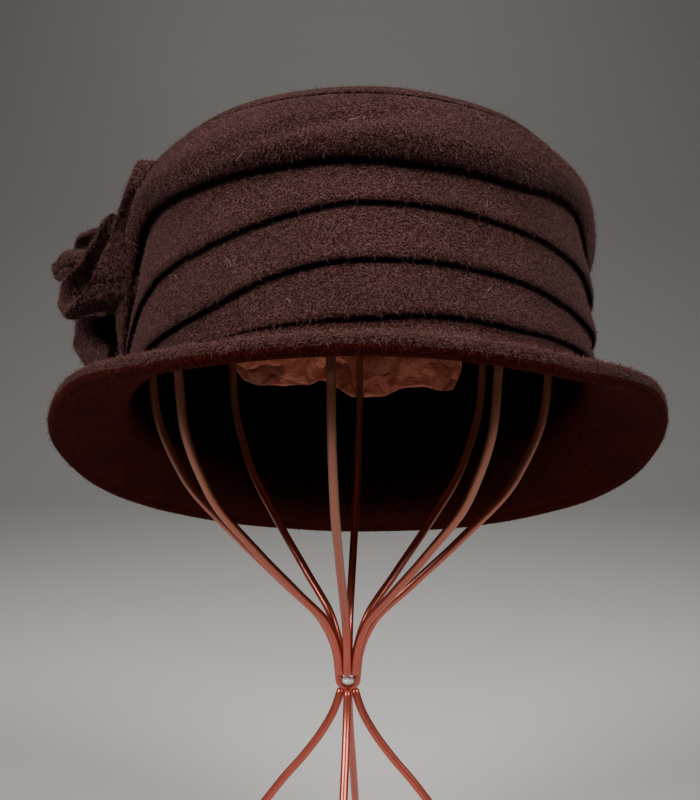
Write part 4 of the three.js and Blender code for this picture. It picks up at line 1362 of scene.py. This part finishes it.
def is_under(face):
    """Whether a face of the brim, in the hat's own frame, looks down or into the hollow."""
    return face.normal.z < BRIM_SLOPE or is_inside(face)


# One operator for each piece or group of like pieces


class CLOCHE_OT_crown(bpy.types.Operator):
    """Builds the crown's draped side and its domed tip"""

    bl_idname = "cloche.crown"
    bl_label = "Crown"

    def execute(self, context):
        scene = context.scene
        hat = scene.cloche_hat
        crown = Crown(hat)
        parts = {"crown_side": (crown_side_mesh, is_inside), "crown_tip": (crown_tip_mesh, is_under_tip)}
        for name, (mesh_of, takes_painted_shade) in parts.items():
            bm = mesh_of(hat, crown)
            # Faces looking into the crown's hollow take the felt in painted deep shade
            give_second_finish(bm, takes_painted_shade)
            bm.transform(hat_place(scene))
            finished(f"felt_{name}", bm, felts(scene, PAINTED_DEEP_SHADE), [name])
        return {"FINISHED"}


class CLOCHE_OT_brim(bpy.types.Operator):
    """Builds the flared brim with its thick turned edge"""

    bl_idname = "cloche.brim"
    bl_label = "Brim"

    def execute(self, context):
        scene = context.scene
        bm = brim_mesh(scene.cloche_hat, Crown(scene.cloche_hat))
        # Faces of the brim that look down or into the hollow take the felt in painted shade
        give_second_finish(bm, is_under)
        bm.transform(hat_place(scene))
        finished("felt_brim", bm, felts(scene, PAINTED_UNDER_SHADE), ["brim"])
        return {"FINISHED"}


class CLOCHE_OT_rose(bpy.types.Operator):
    """Builds the rolled bud and the petals of the rose"""

    bl_idname = "cloche.rose"
    bl_label = "Rose"

    def execute(self, context):
        scene = context.scene
        rose = scene.cloche_rose
        ground = Rose(rose, Crown(scene.cloche_hat))
        meshes = {
            name: petal_mesh(rose, ground, rows, seed) for seed, (name, rows) in enumerate(PETALS.items(), 1)
        }
        meshes["rose_bud"] = bud_mesh(rose, ground)
        for name, bm in meshes.items():
            # The deep faces of all petals but the front one take the felt in painted deep shade
            if name != "rose_petal_front":
                give_second_finish(bm, painted_shade_in_rose(bm))
            bm.transform(hat_place(scene))
            finished(f"felt_{name}", bm, felts(scene, PAINTED_DEEP_SHADE), [name])
        return {"FINISHED"}


class CLOCHE_OT_fuzz(bpy.types.Operator):
    """Adds the loose fibres that stand on the felt"""

    bl_idname = "cloche.fuzz"
    bl_label = "Fuzz"

    def execute(self, context):
        finish = context.scene.cloche_finish
        wool = fuzz_material("loose wool fibres", finish.felt_light)
        pale = fuzz_material("pale stray fibres", finish.lint)
        # The fibres under the brim take the painted shade's paler colour
        under = fuzz_material("loose wool fibres underneath in painted shade", finish.shaded_under_light)
        amounts = {**FUZZ, **{f"felt_{name}": ROSE_FUZZ for name in [*PETALS, "rose_bud"]}}
        for seed, (name, count) in enumerate(amounts.items(), FUZZ_SEED):
            add_fuzz(name.replace("felt", "fuzz"), name, wool, count, seed, WOOL)
        add_fuzz("fuzz_under_brim", "felt_brim", under, UNDER_FUZZ, UNDER_SEED, WOOL, 1.0)
        for seed, (name, count) in enumerate(LINT.items(), LINT_SEED):
            add_fuzz(name.replace("felt", "lint"), name, pale, count, seed, STRAY)
        return {"FINISHED"}


class CLOCHE_OT_paper(bpy.types.Operator):
    """Builds the crumpled packing paper over the cage"""

    bl_idname = "cloche.paper"
    bl_label = "Packing paper"

    def execute(self, context):
        scene = context.scene
        bm = paper_mesh(scene.cloche_paper, scene.cloche_stand)
        bm.transform(stand_place(scene))
        finished("crumpled_paper", bm, [paper_material(scene.cloche_finish)], ["packing_paper"])
        return {"FINISHED"}


class CLOCHE_OT_stand(bpy.types.Operator):
    """Builds the copper-plated wire stand"""

    bl_idname = "cloche.stand"
    bl_label = "Wire stand"

    def execute(self, context):
        scene = context.scene
        bm = stand_mesh(scene.cloche_stand)
        bm.transform(stand_place(scene))
        material = copper_material(scene.cloche_finish, scene.cloche_stand.neck_height)
        finished("copper_wire_stand", bm, [material], ["wire_stand"])
        bead = solder_mesh(scene.cloche_stand)
        bead.transform(stand_place(scene))
        finished("neck_solder", bead, [solder_material(scene.cloche_finish)])
        return {"FINISHED"}


# The stage

CAMERA_FORWARD = 473.92 * MM
CAMERA_ABOVE_NECK = 145.82 * MM
CAMERA_PITCH = 1.5
CAMERA_LENS = 52.41
CAMERA_SHIFT = (0.0026, -0.0551)
SENSOR_WIDTH = 36
FLOOR_SIDE = 3.2
FLOOR_BACK = 1.3
WALL_BEND = 0.5
WALL_HEIGHT = 2.6
WORLD_COLOUR = "#dfe2e6"
WORLD_STRENGTH = 0.015

CROWN_MIDDLE = (0, 0, 0.3)
# Sizes in metres, power in watts and spread in degrees
LIGHTS = [
    dict(name="key", place=(-0.85, -0.55, 1.0), target=CROWN_MIDDLE, size=(0.5, 0.5), power=2.6, spread=70),
    dict(name="top", place=(0.1, -0.2, 1.4), target=CROWN_MIDDLE, size=(1.2, 0.9), power=1.9, spread=90),
    dict(name="side", place=(0.7, -0.55, 1.0), target=CROWN_MIDDLE, size=(0.5, 0.5), power=2.0, spread=70),
    dict(name="backdrop", place=(0, 0.5, 1.9), target=(0, 1.5, 0.3), size=(1.2, 0.5), power=2.2, spread=90),
]


def add_light(name, place, target, size, power, spread):
    lamp = bpy.data.lights.new(name, "AREA")
    lamp.shape = "RECTANGLE"
    lamp.size, lamp.size_y = size
    lamp.energy = power
    lamp.spread = math.radians(spread)
    light = bpy.data.objects.new(name, lamp)
    light.location = place
    light.rotation_euler = (Vector(target) - Vector(place)).to_track_quat("-Z", "Y").to_euler()
    bpy.context.scene.collection.objects.link(light)


class CLOCHE_OT_stage(bpy.types.Operator):
    """Sets up the floor, the lights and the camera"""

    bl_idname = "cloche.stage"
    bl_label = "Stage"

    def execute(self, context):
        scene = context.scene
        bm = bmesh.new()
        turns = [math.radians(t) for t in range(0, 91, 6)]
        bends = [(FLOOR_BACK + WALL_BEND * math.sin(t), WALL_BEND * (1 - math.cos(t))) for t in turns]
        outline = [(-FLOOR_SIDE, 0.0), *bends, (FLOOR_BACK + WALL_BEND, WALL_HEIGHT)]
        corners = [bm.verts.new((-FLOOR_SIDE, y, z)) for y, z in outline]
        edges = [bm.edges.new(pair) for pair in zip(corners, corners[1:])]
        made = bmesh.ops.extrude_edge_only(bm, edges=edges)
        moved = [v for v in made["geom"] if isinstance(v, bmesh.types.BMVert)]
        bmesh.ops.translate(bm, verts=moved, vec=(2 * FLOOR_SIDE, 0, 0))
        mesh = bpy.data.meshes.new("floor")
        bm.to_mesh(mesh)
        bm.free()
        mesh.shade_smooth()
        mesh.materials.append(floor_material(scene.cloche_finish))
        floor = bpy.data.objects.new("floor", mesh)
        scene.collection.objects.link(floor)

        neck = stand_place(scene).translation
        lens = bpy.data.cameras.new("camera")
        lens.lens = CAMERA_LENS
        lens.sensor_width = SENSOR_WIDTH
        lens.shift_x, lens.shift_y = CAMERA_SHIFT
        camera = bpy.data.objects.new("camera", lens)
        camera.location = neck + Vector((0, -CAMERA_FORWARD, CAMERA_ABOVE_NECK))
        camera.rotation_euler = (math.radians(90 - CAMERA_PITCH), 0, 0)
        scene.collection.objects.link(camera)
        scene.camera = camera

        for light in LIGHTS:
            add_light(**light)
        world = bpy.data.worlds.new("studio")
        world.use_nodes = True
        scene.world = world
        world.node_tree.nodes["Background"].inputs["Color"].default_value = linear(WORLD_COLOUR)
        world.node_tree.nodes["Background"].inputs["Strength"].default_value = WORLD_STRENGTH
        return {"FINISHED"}


OPERATORS = [
    CLOCHE_OT_crown,
    CLOCHE_OT_brim,
    CLOCHE_OT_rose,
    CLOCHE_OT_fuzz,
    CLOCHE_OT_paper,
    CLOCHE_OT_stand,
    CLOCHE_OT_stage,
]


class CLOCHE_PT_panel(bpy.types.Panel):
    """The hat's sizes and colours, and a button for each piece"""

    bl_label = "Cloche hat"
    bl_idname = "CLOCHE_PT_panel"
    bl_space_type = "VIEW_3D"
    bl_region_type = "UI"
    bl_category = "Cloche"

    def draw(self, context):
        for name, group in SIZE_GROUPS.items():
            box = self.layout.box()
            box.label(text=group.__doc__)
            for prop in group.__annotations__:
                box.prop(getattr(context.scene, name), prop)
        for operator in OPERATORS:
            self.layout.operator(operator.bl_idname)


CLASSES = [*SIZE_GROUPS.values(), *OPERATORS, CLOCHE_PT_panel]


def register():
    for item in CLASSES:
        bpy.utils.register_class(item)
    for name, group in SIZE_GROUPS.items():
        setattr(bpy.types.Scene, name, bpy.props.PointerProperty(type=group))


def unregister():
    for name in SIZE_GROUPS:
        delattr(bpy.types.Scene, name)
    for item in reversed(CLASSES):
        bpy.utils.unregister_class(item)


def main():
    register()
    bpy.ops.cloche.crown()
    bpy.ops.cloche.brim()
    bpy.ops.cloche.rose()
    bpy.ops.cloche.fuzz()
    bpy.ops.cloche.paper()
    bpy.ops.cloche.stand()
    bpy.ops.cloche.stage()


if __name__ == "__main__":
    main()
